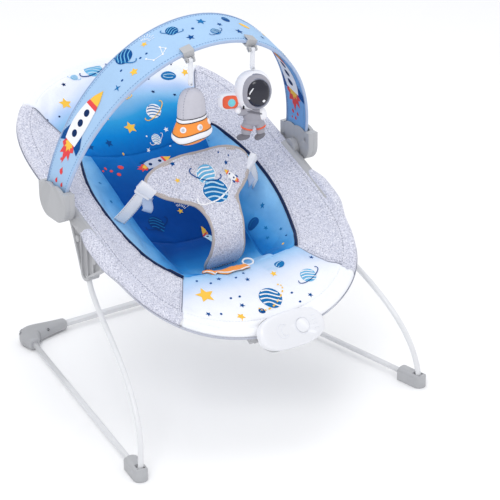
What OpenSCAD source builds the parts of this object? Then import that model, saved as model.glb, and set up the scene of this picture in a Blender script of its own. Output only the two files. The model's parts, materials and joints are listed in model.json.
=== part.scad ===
// Infant bouncer seat: sprung wire base, padded sling seat, harness,
// vibration unit and a pivoting toy bar.
// +Z is up, +Y points to the head end and -X is the left side.
// The origin is on the floor, under the middle of the overall box.

/* [Base frame] */
// Half the distance between the two front bends
foot_half_w = 238; // [230:1:250]
// Half the length of the seat rim, seen from above
rim_half_len = 250; // [246:1:254]
// Half the distance between the two rear corners
rear_half_w = 167; // [160:1:175]
// Distance of the rear corners behind the origin
rear_y = 207; // [195:1:215]
// Diameter of the spring-steel rod
rod_d = 8; // [7:0.5:8]
// Diameter of the rear crossbar
crossbar_d = 10; // [9:0.5:10]
// Height of the rod's centre line above the floor
rod_z = 10; // [9.5:0.5:11]

/* [Seat rim] */
// Half the width of the rim at its middle
rim_half_w = 188; // [187:0.5:189]
// Diameter of the rim tube
rim_d = 12; // [10:0.5:12]
// Height of the rim plane at the middle of the seat
rim_mid_z = 298; // [296:1:300]
// Half the height difference between head end and foot end
rim_rise = 120.5; // [118:0.5:122]

/* [Seat cover] */
// Depth of the seat pocket below its piped edge
pocket_depth = 62; // [50:1:65]
// Loss of pocket depth from the seat to the back
back_shallow = 24; // [15:1:30]
// Drop of the grey side band from the rim to the piping
band_drop = 17; // [12:1:20]
// Half the width of the pocket at its piped edge
pocket_half_w = 136; // [130:1:138]
// Thickness of the single-layer panels
panel_t = 8; // [5:1:9]
// Thickness of the padded back and seat
pad_t = 14; // [10:1:16]

/* [Toy bar] */
// Half the span of the toy bar's arch
arch_half_w = 205.4; // [205.2:0.1:205.6]
// Rise of the arch above its pivots, along the arch
arch_h = 254; // [248:1:256]
// Forward lean of the arch in degrees
arch_lean = 17; // [16:0.5:18]
// Width of the sleeve at its ends
sleeve_w_end = 47; // [44:1:48]
// Width of the sleeve at the top
sleeve_w_top = 73; // [68:1:74]
// Length of the saucer's hanging strap
saucer_strap_len = 34; // [30:1:38]
// Length of the astronaut's hanging strap
astronaut_strap_len = 27; // [24:1:32]

/* [Vibration unit] */
// Width of the white oval cap
cap_w = 106; // [100:1:108]
// Height of the white oval cap
cap_h = 52; // [50:1:54]
// Thickness of the white oval cap
cap_t = 14; // [13:1:15]
// Diameter of the power button
button_d = 20; // [16:1:22]

/* [Hidden] */

$fn = 48;

white_steel = "WhiteSmoke";
grey_plastic = "DarkGray";
white_plastic = "White";
steel = "Silver";
melange = "LightSteelBlue";

// ---- small helpers ----

function smooth(t) = let (c = max(0, min(1, t))) c * c * (3 - 2 * c);
function mix(a, b, t) = a + (b - a) * t;
function unit(v) = v / norm(v);

// a cubic curve through four control points, as a list of points
function cubic(p0, p1, p2, p3, n) = [
  for (i = [0:n])
    let (t = i / n, s = 1 - t)
      s * s * s * p0 + 3 * s * s * t * p1 + 3 * s * t * t * p2 + t * t * t * p3
];

// one ring of points round a path's point
function ring(centre, along, r, sides, ref) =
  let (a = unit(cross(along, ref)), b = cross(a, unit(along)))
    [for (i = [0:sides - 1]) centre + r * (cos(360 * i / sides) * a + sin(360 * i / sides) * b)];

// faces of a stack of rings that all have the same number of points
function stack_faces(rings, sides) = concat(
  [[for (i = [0:sides - 1]) i]],
  [[for (i = [sides - 1:-1:0]) (rings - 1) * sides + i]],
  [for (k = [0:rings - 2], i = [0:sides - 1])
    [k * sides + i, (k + 1) * sides + i, (k + 1) * sides + (i + 1) % sides]],
  [for (k = [0:rings - 2], i = [0:sides - 1])
    [k * sides + i, (k + 1) * sides + (i + 1) % sides, k * sides + (i + 1) % sides]]
);

// a round tube or rod that follows a list of points, with a radius at each
module rod_along(path, radii, sides, ref) {
  last = len(path) - 1;
  points = [
    for (k = [0:last])
      each ring(path[k], path[min(k + 1, last)] - path[max(k - 1, 0)], radii[k], sides, ref)
  ];
  polyhedron(points = points, faces = stack_faces(last + 1, sides));
}

// a solid between two grids of points, grid[row][column], upper one first
module grid_solid(upper, lower) {
  rows = len(upper);
  cols = len(upper[0]);
  per_row = 2 * cols;
  // each row becomes one closed ring: along the top, then back underneath
  points = [
    for (r = [0:rows - 1])
      each concat(upper[r], [for (c = [cols - 1:-1:0]) lower[r][c]])
  ];
  cap_faces = [
    for (c = [0:cols - 2])
      each [
        [c, c + 1, per_row - 2 - c],
        [c, per_row - 2 - c, per_row - 1 - c]
      ]
  ];
  base = (rows - 1) * per_row;
  end_faces = [for (f = cap_faces) [base + f[2], base + f[1], base + f[0]]];
  wall_faces = [
    for (r = [0:rows - 2], i = [0:per_row - 1])
      let (
        a = r * per_row + i,
        b = r * per_row + (i + 1) % per_row,
        c = a + per_row,
        d = b + per_row
      )
        each [[a, c, d], [a, d, b]]
  ];
  polyhedron(points = points, faces = concat(cap_faces, end_faces, wall_faces));
}

// draws its children on both sides of the seat
module both_sides() {
  children();
  mirror([1, 0, 0]) children();
}

// places children with their +Z along one direction and +X as near another as it can be
module aim(at, z_dir, x_dir) {
  z = unit(z_dir);
  y = unit(cross(z, x_dir));
  x = cross(y, z);
  multmatrix([
    [x[0], y[0], z[0], at[0]],
    [x[1], y[1], z[1], at[1]],
    [x[2], y[2], z[2], at[2]],
    [0, 0, 0, 1]
  ])
    children();
}

// extrudes a (y, z) outline along X between two x positions
module across_x(x_low, x_high) {
  translate([x_low, 0, 0])
    rotate([90, 0, 90])
      linear_extrude(x_high - x_low)
        children();
}

// every node is drawn about the middle of the seat, then moved to the middle of the box
centre_shift = 14.9;

module on_side(side) {
  translate([0, centre_shift, 0])
    mirror([side < 0 ? 1 : 0, 0, 0])
      children();
}

module in_middle() {
  translate([0, centre_shift, 0]) children();
}

// ---- shape of the rim and of the seat surface ----

rim_flare = 0.22;
rim_taper = 0.02;
rim_bow = 13.5;
rim_end_power = 2.9;
rim_side_power = 2.15;

// half-width limit of the rim's outline at station u, from -1 at the foot to 1 at the head
function rim_reach(u) = rim_half_w * (1 + rim_taper * u + rim_flare * u * u);

// half the rim's width at a given y
function rim_x(y) =
  let (u = max(-1, min(1, y / rim_half_len)))
    rim_reach(u) * pow(1 - pow(abs(u), rim_end_power), 1 / rim_side_power);

// height of the rim plane at station u and side ratio v
function rim_z(u, v) =
  rim_mid_z + rim_rise * u - rim_bow * u * u - (6.6 + 22 * u) * v * v;

// point of the rim at an angle round it: 0 foot, 90 right side, 180 head
function rim_point(angle) =
  let (
    u = -sign(cos(angle)) * pow(abs(cos(angle)), 2 / rim_end_power),
    v = sign(sin(angle)) * pow(abs(sin(angle)), 2 / rim_side_power)
  )
    [rim_reach(u) * v, rim_half_len * u, rim_z(u, v)];

pocket_mid_y = 10;
pocket_head_len = 177;
pocket_foot_len = 212;
fold_y = -140;

// half the pocket's width at its piped edge
function piping_x(y) =
  let (reach = y > pocket_mid_y ? pocket_head_len : pocket_foot_len)
    pocket_half_w * sqrt(max(0, 1 - pow((y - pocket_mid_y) / reach, 2)));

// height of the cover's upper surface
function cover_z(x, y) =
  let (
    u = y / rim_half_len,
    v = x / rim_reach(u),
    to_rim = pow(pow(abs(u), rim_end_power) + pow(abs(v), rim_side_power), 0.4),
    foot_share = 0.35 + 0.65 * smooth((y + 150) / 70),
    band = band_drop * foot_share * smooth((1 - to_rim) / 0.27),
    reach = y > pocket_mid_y ? pocket_head_len : pocket_foot_len,
    to_piping = sqrt(pow(x / pocket_half_w, 2) + pow((y - pocket_mid_y) / reach, 2)),
    depth = pocket_depth - back_shallow * smooth((y + 40) / 140),
    pocket = depth * max(0, 1 - pow(to_piping, 2.2)) * smooth((y + 158) / 62)
  )
    rim_z(u, v) - band - pocket;

function on_cover(x, y) = [x, y, cover_z(x, y)];

// half-width of the back and seat pads, where the side gussets start
function gusset_x(y) = 80 + 0.155 * y;

head_seam_low_y = 112;
head_seam_high_y = 206;

// half-width of the white head panel at its side seams
function head_seam_x(y) =
  106 + 40 * pow(max(0, (y - 119) / 87), 1.6);

// half-width of the foot panel at its side seams
function foot_seam_x(y) = 95 + 0.541 * (fold_y - y);

seam_gap = 0.6;
edge_share = 0.955;
side_edge_share = 0.93;

// a cover panel: a grid of flat positions, dropped onto the cover surface
module panel(flat, thickness) {
  upper = [for (row = flat) [for (p = row) on_cover(p[0], p[1])]];
  lower = [for (row = upper) [for (p = row) p - [0, 0, thickness]]];
  grid_solid(upper, lower);
}

// rows from low y to high y, each from -half_width to half_width
function centre_rows(y_low, y_high, rows, cols, widths) = [
  for (r = [0:rows])
    let (y = mix(y_low, y_high, r / rows), w = widths[r])
      [for (c = [0:cols]) [w * (2 * c / cols - 1), y]]
];

// ---- base ----

rail_run = [rear_half_w - foot_half_w, rear_y + rim_half_len, 0];
rail_turn = atan2(-rail_run[0], rail_run[1]);
foot_y = -rim_half_len;
ball_d = 9.2;
foot_len = 34;
foot_w = 21;
foot_h = 20;
rail_front_gap = 5.4;
rail_seat = 12;
crossbar_seat = 10;
fit = 0.05;
pin_fit = 0.06;
screw_r = 1.5;
screw_head_r = 3;

// local frame with +Y along the right rail, starting under the front bend
module at_front_bend() {
  translate([foot_half_w, foot_y, 0])
    rotate([0, 0, rail_turn])
      children();
}

module front_foot() {
  color(grey_plastic)
    at_front_bend()
      difference() {
        intersection() {
          union() {
            cylinder(r = foot_w / 2, h = foot_h);
            translate([-foot_w / 2, 0, 0]) cube([foot_w, foot_len, foot_h]);
          }
          // domed top
          translate([0, -foot_w, foot_h - 14])
            rotate([-90, 0, 0])
              cylinder(r = 14, h = foot_len + 2 * foot_w);
        }
        translate([0, 0, rod_z])
          rotate([-90, 0, 0])
            cylinder(r = rod_d / 2 + fit, h = foot_len + 1);
        translate([0, 0, rod_z]) sphere(r = ball_d / 2 + fit);
        // open slot in which the leg moves
        translate([-5.5, -6, rod_z]) cube([11, 14, foot_h]);
      }
}

module base_rail() {
  color(white_steel)
    at_front_bend()
      difference() {
        translate([0, rail_front_gap, rod_z])
          rotate([-90, 0, 0])
            cylinder(d = rod_d, h = norm(rail_run) - rail_front_gap - rail_seat);
        translate([-rod_d, norm(rail_run) - 24, rod_z])
          rotate([0, 90, 0])
            cylinder(r = screw_r + fit, h = 2 * rod_d);
      }
}

module rear_connector() {
  color(grey_plastic)
    difference() {
      union() {
        translate([rear_half_w, rear_y, 0]) cylinder(r = 13.5, h = 21);
        // arm round the rail
        at_front_bend()
          translate([0, norm(rail_run) - 38, rod_z])
            rotate([-90, 0, 0])
              cylinder(r = 9, h = 38);
        // stepped arm round the crossbar
        translate([rear_half_w - 42, rear_y, rod_z])
          rotate([0, 90, 0])
            cylinder(r = 10, h = 42);
        translate([rear_half_w - 68, rear_y, rod_z])
          rotate([0, 90, 0])
            cylinder(r = 7.5, h = 30);
        // web in the corner
        translate([0, 0, rod_z - 7])
          linear_extrude(13)
            polygon([
              [rear_half_w - 40, rear_y],
              [rear_half_w, rear_y],
              [rear_half_w + 4, rear_y - 34],
              [rear_half_w - 4, rear_y - 30]
            ]);
      }
      at_front_bend()
        translate([0, norm(rail_run) - 40, rod_z])
          rotate([-90, 0, 0])
            cylinder(r = rod_d / 2 + fit, h = 40 - rail_seat + 1);
      translate([rear_half_w - 70, rear_y, rod_z])
        rotate([0, 90, 0])
          cylinder(r = crossbar_d / 2 + fit, h = 70 - crossbar_seat);
      connector_screw_pair(fit);
      // flat underside
      translate([0, 0, -20]) cube([2 * rear_half_w, 2 * rear_y, 20]);
    }
}

// the two screws of one corner, grown by a clearance to cut their holes
module connector_screw_pair(grow) {
  // through the rail arm, from outside
  at_front_bend()
    translate([0, norm(rail_run) - 24, rod_z])
      rotate([0, 90, 0]) {
        translate([0, 0, -5.5]) cylinder(r = screw_r + grow, h = 13);
        translate([0, 0, 7.5 - grow]) cylinder(r = screw_head_r + grow, h = 1.5 + 8 * grow);
      }
  // through the crossbar arm, from the front
  translate([rear_half_w - 30, rear_y, rod_z])
    rotate([90, 0, 0]) {
      translate([0, 0, -6.5]) cylinder(r = screw_r + grow, h = 15);
      translate([0, 0, 8.5 - grow]) cylinder(r = screw_head_r + grow, h = 1.5 + 8 * grow);
    }
}

module rear_crossbar() {
  half_len = rear_half_w - crossbar_seat - 0.5;
  color(white_steel)
    difference() {
      translate([-half_len, rear_y, rod_z])
        rotate([0, 90, 0])
          cylinder(d = crossbar_d, h = 2 * half_len);
      for (side = [-1, 1])
        translate([side * (rear_half_w - 30), rear_y + crossbar_d, rod_z])
          rotate([90, 0, 0])
            cylinder(r = screw_r + fit, h = 2 * crossbar_d);
    }
}

module connector_screws() {
  color(steel)
    both_sides() connector_screw_pair(0);
}

// ---- legs and brackets ----

leg_bend = [foot_half_w, foot_y, rod_z];
leg_top = [190, -42, 208];
leg_top_dir = unit([-4, 22, 40]);
leg_insert = 34;
bracket_mid_x = 188;
bracket_in_x = 178;
bracket_out_x = 196.5;
bracket_front_y = -92;
bracket_rear_y = 26;
sleeve_r = 9.6;
pivot_y = 12;
pivot_z = 302;
pivot_r = 4;
boss_r = 13;
boss_out_x = 197.2;

module leg() {
  first_pull = [-14, -5, 123];
  curve = cubic(
    leg_bend,
    leg_bend + first_pull,
    leg_top - 46 * leg_top_dir + [9, -8, 0],
    leg_top,
    30
  );
  // the ball at the bend, as rings from its lowest point up to the rod
  ball_r = ball_d / 2;
  ball_angles = [10, 30, 50, 70, 90, 105, 180 - asin(rod_d / ball_d)];
  path = concat(
    [for (a = ball_angles) leg_bend - ball_r * cos(a) * unit(first_pull)],
    [for (i = [1:30]) curve[i]],
    [leg_top + leg_insert * leg_top_dir]
  );
  radii = concat(
    [for (a = ball_angles) ball_r * sin(a)],
    [for (i = [1:31]) rod_d / 2]
  );
  color(white_steel) rod_along(path, radii, 14, [1, 0, 0]);
}

function rim_side_point(y) =
  let (u = y / rim_half_len, v = rim_x(y) / rim_reach(u))
    [rim_x(y), y, rim_z(u, v)];

rim_low = rim_side_point(bracket_front_y);
rim_high = rim_side_point(bracket_rear_y);

// outline of the bracket in the (y, z) plane: a sleeve under the rim and a tapering arm
module bracket_outline(shrink) {
  tip = [leg_top[1] + 2, leg_top[2] + 8];
  polygon([
    [bracket_front_y + shrink, rim_low[2] + sleeve_r - 8],
    [bracket_front_y + 2 + shrink, rim_low[2] - 14],
    [tip[0] - 12 + shrink, tip[1] - 2],
    [tip[0] + 9 - shrink, tip[1]],
    [-2 - shrink, rim_side_point(-2)[2] + 1],
    [-20, rim_side_point(-20)[2] + 1]
  ]);
  translate(tip + [-1.5, 0]) circle(r = 10.5 - shrink);
}

// the round sleeve that holds the rim tubes' ends
module rim_sleeve_solid(r) {
  run = rim_high - rim_low;
  aim(rim_low, run, [1, 0, 0]) cylinder(r = r, h = norm(run));
}

module rim_channel() {
  run = rim_high - rim_low;
  aim(rim_low - 0.1 * run, run, [1, 0, 0]) cylinder(r = rim_d / 2 + 1, h = 1.2 * norm(run));
}

module leg_socket() {
  aim(leg_top - 20 * leg_top_dir, leg_top_dir, [1, 0, 0]) {
    cylinder(r = rod_d / 2 + fit, h = leg_insert + 20);
    // flared mouth, where the leg starts to curve
    cylinder(r1 = rod_d / 2 + 1, r2 = rod_d / 2 + fit, h = 20);
  }
}

bracket_screw_spots = [[-70, 246], [-24, 264]];

// one of the bracket's screws, from the outer face inwards
module bracket_screw(spot, grow) {
  translate([bracket_in_x + 3, spot[0], spot[1]])
    rotate([0, 90, 0]) {
      cylinder(r = screw_r + grow, h = bracket_out_x - bracket_in_x - 5);
      translate([0, 0, bracket_out_x - bracket_in_x - 7 - grow])
        cylinder(r = screw_head_r + grow, h = 2 + 12 * grow);
    }
}

module bracket_shell(x_low, x_high) {
  difference() {
    union() {
      across_x(x_low, x_high) bracket_outline(0);
      intersection() {
        rim_sleeve_solid(sleeve_r);
        translate([x_low, -200, 0]) cube([x_high - x_low, 400, 500]);
      }
    }
    rim_channel();
    leg_socket();
    for (spot = bracket_screw_spots) bracket_screw(spot, fit);
  }
}

module bracket_outer() {
  recess = 3;
  color(grey_plastic)
    difference() {
      union() {
        bracket_shell(bracket_mid_x, bracket_out_x);
        // round boss for the toy bar's pivot
        translate([bracket_mid_x, pivot_y, pivot_z])
          rotate([0, 90, 0])
            cylinder(r = boss_r, h = boss_out_x - bracket_mid_x);
      }
      rim_channel();
      translate([bracket_mid_x - 1, pivot_y, pivot_z])
        rotate([0, 90, 0])
          cylinder(r = pivot_r + pin_fit, h = 20);
      // recessed outer face, with three ribs left standing
      difference() {
        across_x(bracket_out_x - recess, bracket_out_x + 1) bracket_outline(4.5);
        for (y = [-66, -50, -34])
          translate([bracket_out_x - recess - 1, y - 1, 0]) cube([recess + 3, 2, 400]);
        for (spot = bracket_screw_spots)
          translate([bracket_out_x - recess - 1, spot[0], spot[1]])
            rotate([0, 90, 0])
              cylinder(r = 5, h = recess + 3);
        rim_sleeve_solid(sleeve_r);
        translate([bracket_mid_x, pivot_y, pivot_z])
          rotate([0, 90, 0])
            cylinder(r = boss_r, h = 20);
      }
    }
}

module bracket_inner() {
  color(grey_plastic)
    bracket_shell(bracket_in_x, bracket_mid_x - 0.05);
}

module bracket_screws() {
  color(steel)
    both_sides()
      for (spot = bracket_screw_spots) bracket_screw(spot, 0);
}

rim_split = 87.2;

module seat_rim_foot() {
  color(white_steel)
    rod_along(
      [for (i = [-26:26]) rim_point(i * rim_split / 26)],
      [for (i = [-26:26]) rim_d / 2],
      12, [0, 0, 1]
    );
}

module seat_rim_head() {
  span = 180 - rim_split - 0.3;
  color(white_steel)
    rod_along(
      [for (i = [-26:26]) rim_point(180 + i * span / 26)],
      [for (i = [-26:26]) rim_d / 2],
      12, [0, 0, 1]
    );
}

paddle_in_x = 197.6;
paddle_mid_x = 205.6;
paddle_out_x = 214;
paddle_wall = 2.4;
pivot_in_x = 195.1;

module bar_pivot() {
  color(steel)
    translate([pivot_in_x, pivot_y, pivot_z])
      rotate([0, 90, 0]) {
        cylinder(r = pivot_r, h = paddle_in_x + paddle_wall + 1 - pivot_in_x);
        translate([0, 0, paddle_in_x + paddle_wall + 0.3 - pivot_in_x]) cylinder(r = 6.5, h = 1.6);
      }
}

// ---- cover ----

module side_panel() {
  rows = 20;
  cols = 4;
  flat = [
    for (r = [0:rows])
      let (a = r / rows)
        [for (c = [0:cols])
          let (
            b = c / cols,
            y_in = mix(fold_y - 1, head_seam_low_y - 2, a),
            y_out = mix(-200, 192, a),
            y = mix(y_in, y_out, b),
            x_line = mix(
              piping_x(y_in) + seam_gap,
              side_edge_share * rim_x(y_out / side_edge_share),
              b
            ),
            x_seam = head_seam_x(y) + 2 * seam_gap,
            to_seam = (1 - b * b) * smooth((a - 0.8) / 0.2),
            x = mix(x_line, max(x_seam, piping_x(y_in) + seam_gap), to_seam)
          )
            [y < fold_y ? max(x, foot_seam_x(y) + seam_gap) : x, y]
        ]
  ];
  color(melange) panel(flat, panel_t);
}

module head_panel() {
  rows = 12;
  y_low = head_seam_low_y + seam_gap;
  y_high = edge_share * rim_half_len - 1;
  widths = [
    for (r = [0:rows])
      let (y = mix(y_low, y_high, r / rows))
        min(head_seam_x(y) - seam_gap, edge_share * rim_x(y / edge_share))
  ];
  color("AliceBlue") panel(centre_rows(y_low, y_high, rows, 12, widths), panel_t);
}

module back_pad() {
  rows = 8;
  y_low = -20 + seam_gap;
  y_high = head_seam_low_y - seam_gap;
  widths = [for (r = [0:rows]) gusset_x(mix(y_low, y_high, r / rows)) - seam_gap];
  color("RoyalBlue") panel(centre_rows(y_low, y_high, rows, 10, widths), pad_t);
}

module seat_pad() {
  rows = 8;
  y_low = fold_y + seam_gap;
  y_high = -20 - seam_gap;
  widths = [for (r = [0:rows]) gusset_x(mix(y_low, y_high, r / rows)) - seam_gap];
  color("MediumBlue") panel(centre_rows(y_low, y_high, rows, 10, widths), pad_t);
}

module gusset() {
  rows = 14;
  cols = 3;
  flat = [
    for (r = [0:rows])
      let (y = mix(fold_y + 1, head_seam_low_y - 3, r / rows))
        [for (c = [0:cols])
          [mix(gusset_x(y) + seam_gap, piping_x(y) - 1.5 * seam_gap, c / cols), y]]
  ];
  color("LightSkyBlue") panel(flat, panel_t);
}

module foot_panel() {
  rows = 10;
  y_low = -edge_share * rim_half_len + 1;
  y_high = fold_y - seam_gap;
  widths = [
    for (r = [0:rows])
      let (y = mix(y_low, y_high, r / rows))
        min(foot_seam_x(y) - seam_gap, edge_share * rim_x(y / edge_share))
  ];
  color("AliceBlue") panel(centre_rows(y_low, y_high, rows, 12, widths), panel_t);
}

// ---- harness ----

// centre line of the pad as [y, z, half width], from the seat up to the belly edge
pad_rows = [
  [-86, 194, 24], [-97, 208, 31], [-107, 226, 30], [-111, 246, 27], [-109, 266, 27],
  [-98, 283, 28], [-82, 296, 33], [-70, 306, 56], [-62, 316, 76], [-56, 327, 80],
  [-49, 340, 66], [-43, 350, 44], [-40, 355, 24]
];
pad_wrap = 26;
pad_half_w = 83;
crotch_pad_t = 7;

module crotch_pad() {
  cols = 10;
  front = [
    for (row = pad_rows)
      [for (c = [0:cols])
        let (x = row[2] * (2 * c / cols - 1))
          [x, row[0] + pad_wrap * pow(x / pad_half_w, 2) * smooth((row[1] - 270) / 40), row[1]]]
  ];
  back = [for (row = front) [for (p = row) p + [0, crotch_pad_t * 0.9, crotch_pad_t * 0.35]]];
  color(melange) grid_solid(back, front);
}

strap_low = [116, -4, 264];
strap_high = [93.3, -28.6, 305.7];
strap_run = strap_high - strap_low;
strap_face = [0.5, -0.8, -0.2];
strap_w = 18;

module waist_strap() {
  color(white_plastic)
    aim(strap_low, strap_run, cross(strap_run, strap_face))
      translate([-strap_w / 2, -0.8, 0])
        cube([strap_w, 1.6, norm(strap_run)]);
}

// the tongue ends the strap and the buckle holds it, both in the strap's own frame
module in_buckle_frame() {
  aim(strap_high + 0.3 * unit(strap_run), strap_run, cross(strap_run, strap_face)) children();
}

module buckle_tongue() {
  color(white_plastic)
    in_buckle_frame() {
      translate([-12, -2.5, 0]) cube([24, 5, 5]);
      for (side = [-1, 1])
        translate([side * 7 - 1.5, -1.3, 5]) cube([3, 2.6, 9]);
      translate([-2, -1.3, 5]) cube([4, 2.6, 7]);
    }
}

module buckle() {
  color(white_plastic)
    in_buckle_frame()
      difference() {
        translate([-13, -4.5, 5.3]) cube([26, 9, 14.5]);
        translate([-10, -1.8, 5]) cube([20, 3.6, 10]);
      }
}

// ---- vibration unit ----

unit_tilt = 35;
cap_gap = 9;
cap_drop = 7;
box_slope = 27;
tube_centre = [0, foot_y, rim_z(-1, 0)];

// frame of the oval cap: +Z out of the front face, +Y up its face, at the rim tube
module in_cap_frame() {
  translate(tube_centre)
    rotate([90 - unit_tilt, 0, 0])
      translate([0, -cap_drop, 0])
        children();
}

// frame of the battery box: +Y along the foot panel, -Z away from it
module in_box_frame() {
  translate(tube_centre)
    rotate([box_slope, 0, 0])
      children();
}

module oval(w, h) {
  // three arcs make an even oval: a stadium with rounded-in ends
  square([w - h, h], center = true);
  for (side = [-1, 1])
    translate([side * (w - h) / 2, 0]) circle(d = h);
}

cap_wall = 2;
button_at = [14, 0];
button_travel = 1.2;

module vibe_cover() {
  color(white_plastic)
    in_cap_frame()
      difference() {
        union() {
          translate([0, 0, cap_gap]) linear_extrude(cap_t - 2.5) oval(cap_w, cap_h);
          translate([0, 0, cap_gap]) linear_extrude(cap_t) oval(cap_w - 7, cap_h - 7);
        }
        translate([0, 0, cap_gap - 1]) linear_extrude(cap_t - cap_wall) oval(cap_w - 9, cap_h - 9);
        translate([button_at[0], button_at[1], cap_gap])
          cylinder(r = button_d / 2 + 0.3, h = cap_t + 1);
      }
}

module power_button() {
  color(white_plastic)
    in_cap_frame()
      translate([button_at[0], button_at[1], 0]) {
        translate([0, 0, cap_gap + cap_t - 4.6]) cylinder(r = button_d / 2, h = 5.8);
        translate([0, 0, cap_gap + cap_t - cap_wall - 3.2]) cylinder(r = button_d / 2 + 1.6, h = 1.8);
      }
}

module button_spring() {
  color(steel)
    in_cap_frame()
      translate([button_at[0], button_at[1], cap_gap + 3.2])
        difference() {
          cylinder(r = 4, h = cap_t - 9.8);
          translate([0, 0, -1]) cylinder(r = 3, h = cap_t);
        }
}

box_half_w = 42;
box_start = 10;
box_end = 68;
box_top = -12;
box_bottom = -34;
box_wall = 2;
cell_r = 7.2;
cell_len = 50;
cell_x = -38;
door_half_w = 28;
door_at_x = -8;
door_start = 14;
door_end = 60;
door_t = 2.2;
// hinge of the door: a barrel on the door between two lugs on the box
hinge_y = 12.5;
hinge_z = box_bottom - 2.2;
hinge_r = 2;
hinge_pin_r = 1;
hinge_half_len = 20;
lug_w = 4;

module vibe_housing() {
  color(grey_plastic)
    difference() {
      union() {
        // back plate of the cap
        in_cap_frame()
          translate([0, 0, cap_gap - 2.4]) linear_extrude(2.3) oval(cap_w - 4, cap_h - 4);
        // bridge under the rim tube
        translate([0, tube_centre[1], tube_centre[2]])
          across_x(-30, 30)
            polygon([[-23.5, -20.5], [-16, -9.5], [16, -8], [26, -24], [4, -26], [-14, -25]]);
        // battery box
        in_box_frame()
          translate([-box_half_w, box_start, box_bottom])
            cube([2 * box_half_w, box_end - box_start, box_top - box_bottom]);
        // lugs with the door's hinge pins
        in_box_frame()
          for (side = [-1, 1])
            translate([door_at_x + side * (hinge_half_len + 0.3 + lug_w / 2), hinge_y, hinge_z]) {
              translate([-lug_w / 2, -hinge_r, 0]) cube([lug_w, 2 * hinge_r, 3]);
              rotate([0, 90, 0]) cylinder(r = hinge_r, h = lug_w, center = true);
              rotate([0, 90, 0]) cylinder(r = hinge_pin_r, h = lug_w + 6, center = true);
            }
      }
      // the box is hollow
      in_box_frame()
        translate([-box_half_w + box_wall, box_start + box_wall, box_bottom + box_wall])
          cube([
            2 * (box_half_w - box_wall),
            box_end - box_start - 2 * box_wall,
            box_top - box_bottom - 2 * box_wall
          ]);
      // door opening
      in_box_frame()
        translate([door_at_x - door_half_w, door_start, box_bottom - 1])
          cube([2 * door_half_w, door_end - door_start, box_wall + 2]);
      // wire way through the bridge
      in_box_frame()
        translate([20, -12, -24]) rotate([-90, 0, 0]) cylinder(r = 2.5, h = 30);
      // nothing of the bridge stands out in front of the back plate
      in_cap_frame()
        translate([-60, -60, cap_gap - 0.1]) cube([120, 120, 60]);
      // room for the rim tube
      translate(tube_centre - [60, 0, 0]) rotate([0, 90, 0]) cylinder(r = rim_d / 2 + 0.5, h = 120);
    }
}

module battery_door() {
  clear = 0.3;
  color(grey_plastic)
    in_box_frame()
      difference() {
        union() {
          translate([door_at_x - door_half_w + clear, door_start + clear, box_bottom - 0.6])
            cube([2 * (door_half_w - clear), door_end - door_start - 2 * clear, door_t + 0.4]);
          // outer lip that covers the gap
          translate([door_at_x - door_half_w - 2, door_start + 1, box_bottom - 1.8])
            cube([2 * door_half_w + 4, door_end - door_start + 1, 1.5]);
          // hinge barrel and its web
          translate([door_at_x - hinge_half_len, hinge_y, hinge_z])
            rotate([0, 90, 0])
              cylinder(r = hinge_r, h = 2 * hinge_half_len);
          translate([door_at_x - hinge_half_len, hinge_y, hinge_z + 0.4])
            cube([2 * hinge_half_len, door_start + 2 - hinge_y, 1.5]);
        }
        translate([door_at_x - hinge_half_len - 1, hinge_y, hinge_z])
          rotate([0, 90, 0])
            cylinder(r = hinge_pin_r + pin_fit, h = 2 * hinge_half_len + 2);
        translate([door_at_x, door_end - 7, box_bottom - 5]) cylinder(r = screw_r + fit, h = 10);
        translate([door_at_x, door_end - 7, box_bottom - 2.5]) cylinder(r = screw_head_r + fit, h = 1.6);
      }
}

module battery_door_screw() {
  color(steel)
    in_box_frame()
      translate([door_at_x, door_end - 7, box_bottom]) {
        translate([0, 0, -2.3]) cylinder(r = screw_head_r, h = 1.3);
        translate([0, 0, -2]) cylinder(r = screw_r, h = 4.6);
      }
}

module battery_cells() {
  color("Goldenrod")
    in_box_frame()
      for (i = [0:2])
        translate([cell_x, box_start + box_wall + 8 + i * (2 * cell_r + 0.4), -22.6])
          rotate([0, 90, 0]) {
            cylinder(r = cell_r, h = cell_len - 1);
            translate([0, 0, cell_len - 1]) cylinder(r = 2.6, h = 1);
          }
}

module battery_contacts() {
  color(steel)
    in_box_frame()
      for (i = [0:2], x = [cell_x - 1.2, cell_x + cell_len + 0.1])
        translate([x, box_start + box_wall + 3 + i * (2 * cell_r + 0.4), -27])
          cube([0.8, 10, 8]);
}

motor_at = [26, 32, -23];

module vibe_motor() {
  color(steel)
    in_box_frame()
      translate(motor_at)
        rotate([-90, 0, 0]) {
          cylinder(r = 6, h = 20);
          translate([0, 0, 20]) cylinder(r = 1, h = 9);
        }
}

module motor_clamp() {
  color(grey_plastic)
    in_box_frame()
      difference() {
        translate([motor_at[0] - 8, motor_at[1] + 4, box_bottom + box_wall + 0.1])
          cube([16, 8, 10]);
        translate(motor_at) rotate([-90, 0, 0]) cylinder(r = 6 + fit, h = 30);
      }
}

module eccentric_weight() {
  color("DimGray")
    in_box_frame()
      translate(motor_at + [0, 22, 0])
        rotate([-90, 0, 0])
          difference() {
            union() {
              cylinder(r = 2.4, h = 6);
              intersection() {
                cylinder(r = 7, h = 6);
                translate([-8, 0, 0]) cube([16, 8, 6]);
              }
            }
            translate([0, 0, -1]) cylinder(r = 1 + fit, h = 8);
          }
}

module circuit_board() {
  color("SeaGreen")
    in_cap_frame()
      difference() {
        union() {
          translate([-24, -15, cap_gap + 0.3]) cube([64, 30, 1.6]);
          // push switch under the button
          translate([button_at[0] - 2.5, button_at[1] - 2.5, cap_gap + 1.9]) cube([5, 5, 1.2]);
        }
        for (x = [-20, 36])
          translate([x, 0, cap_gap]) cylinder(r = 1.8, h = 4);
      }
}

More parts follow.
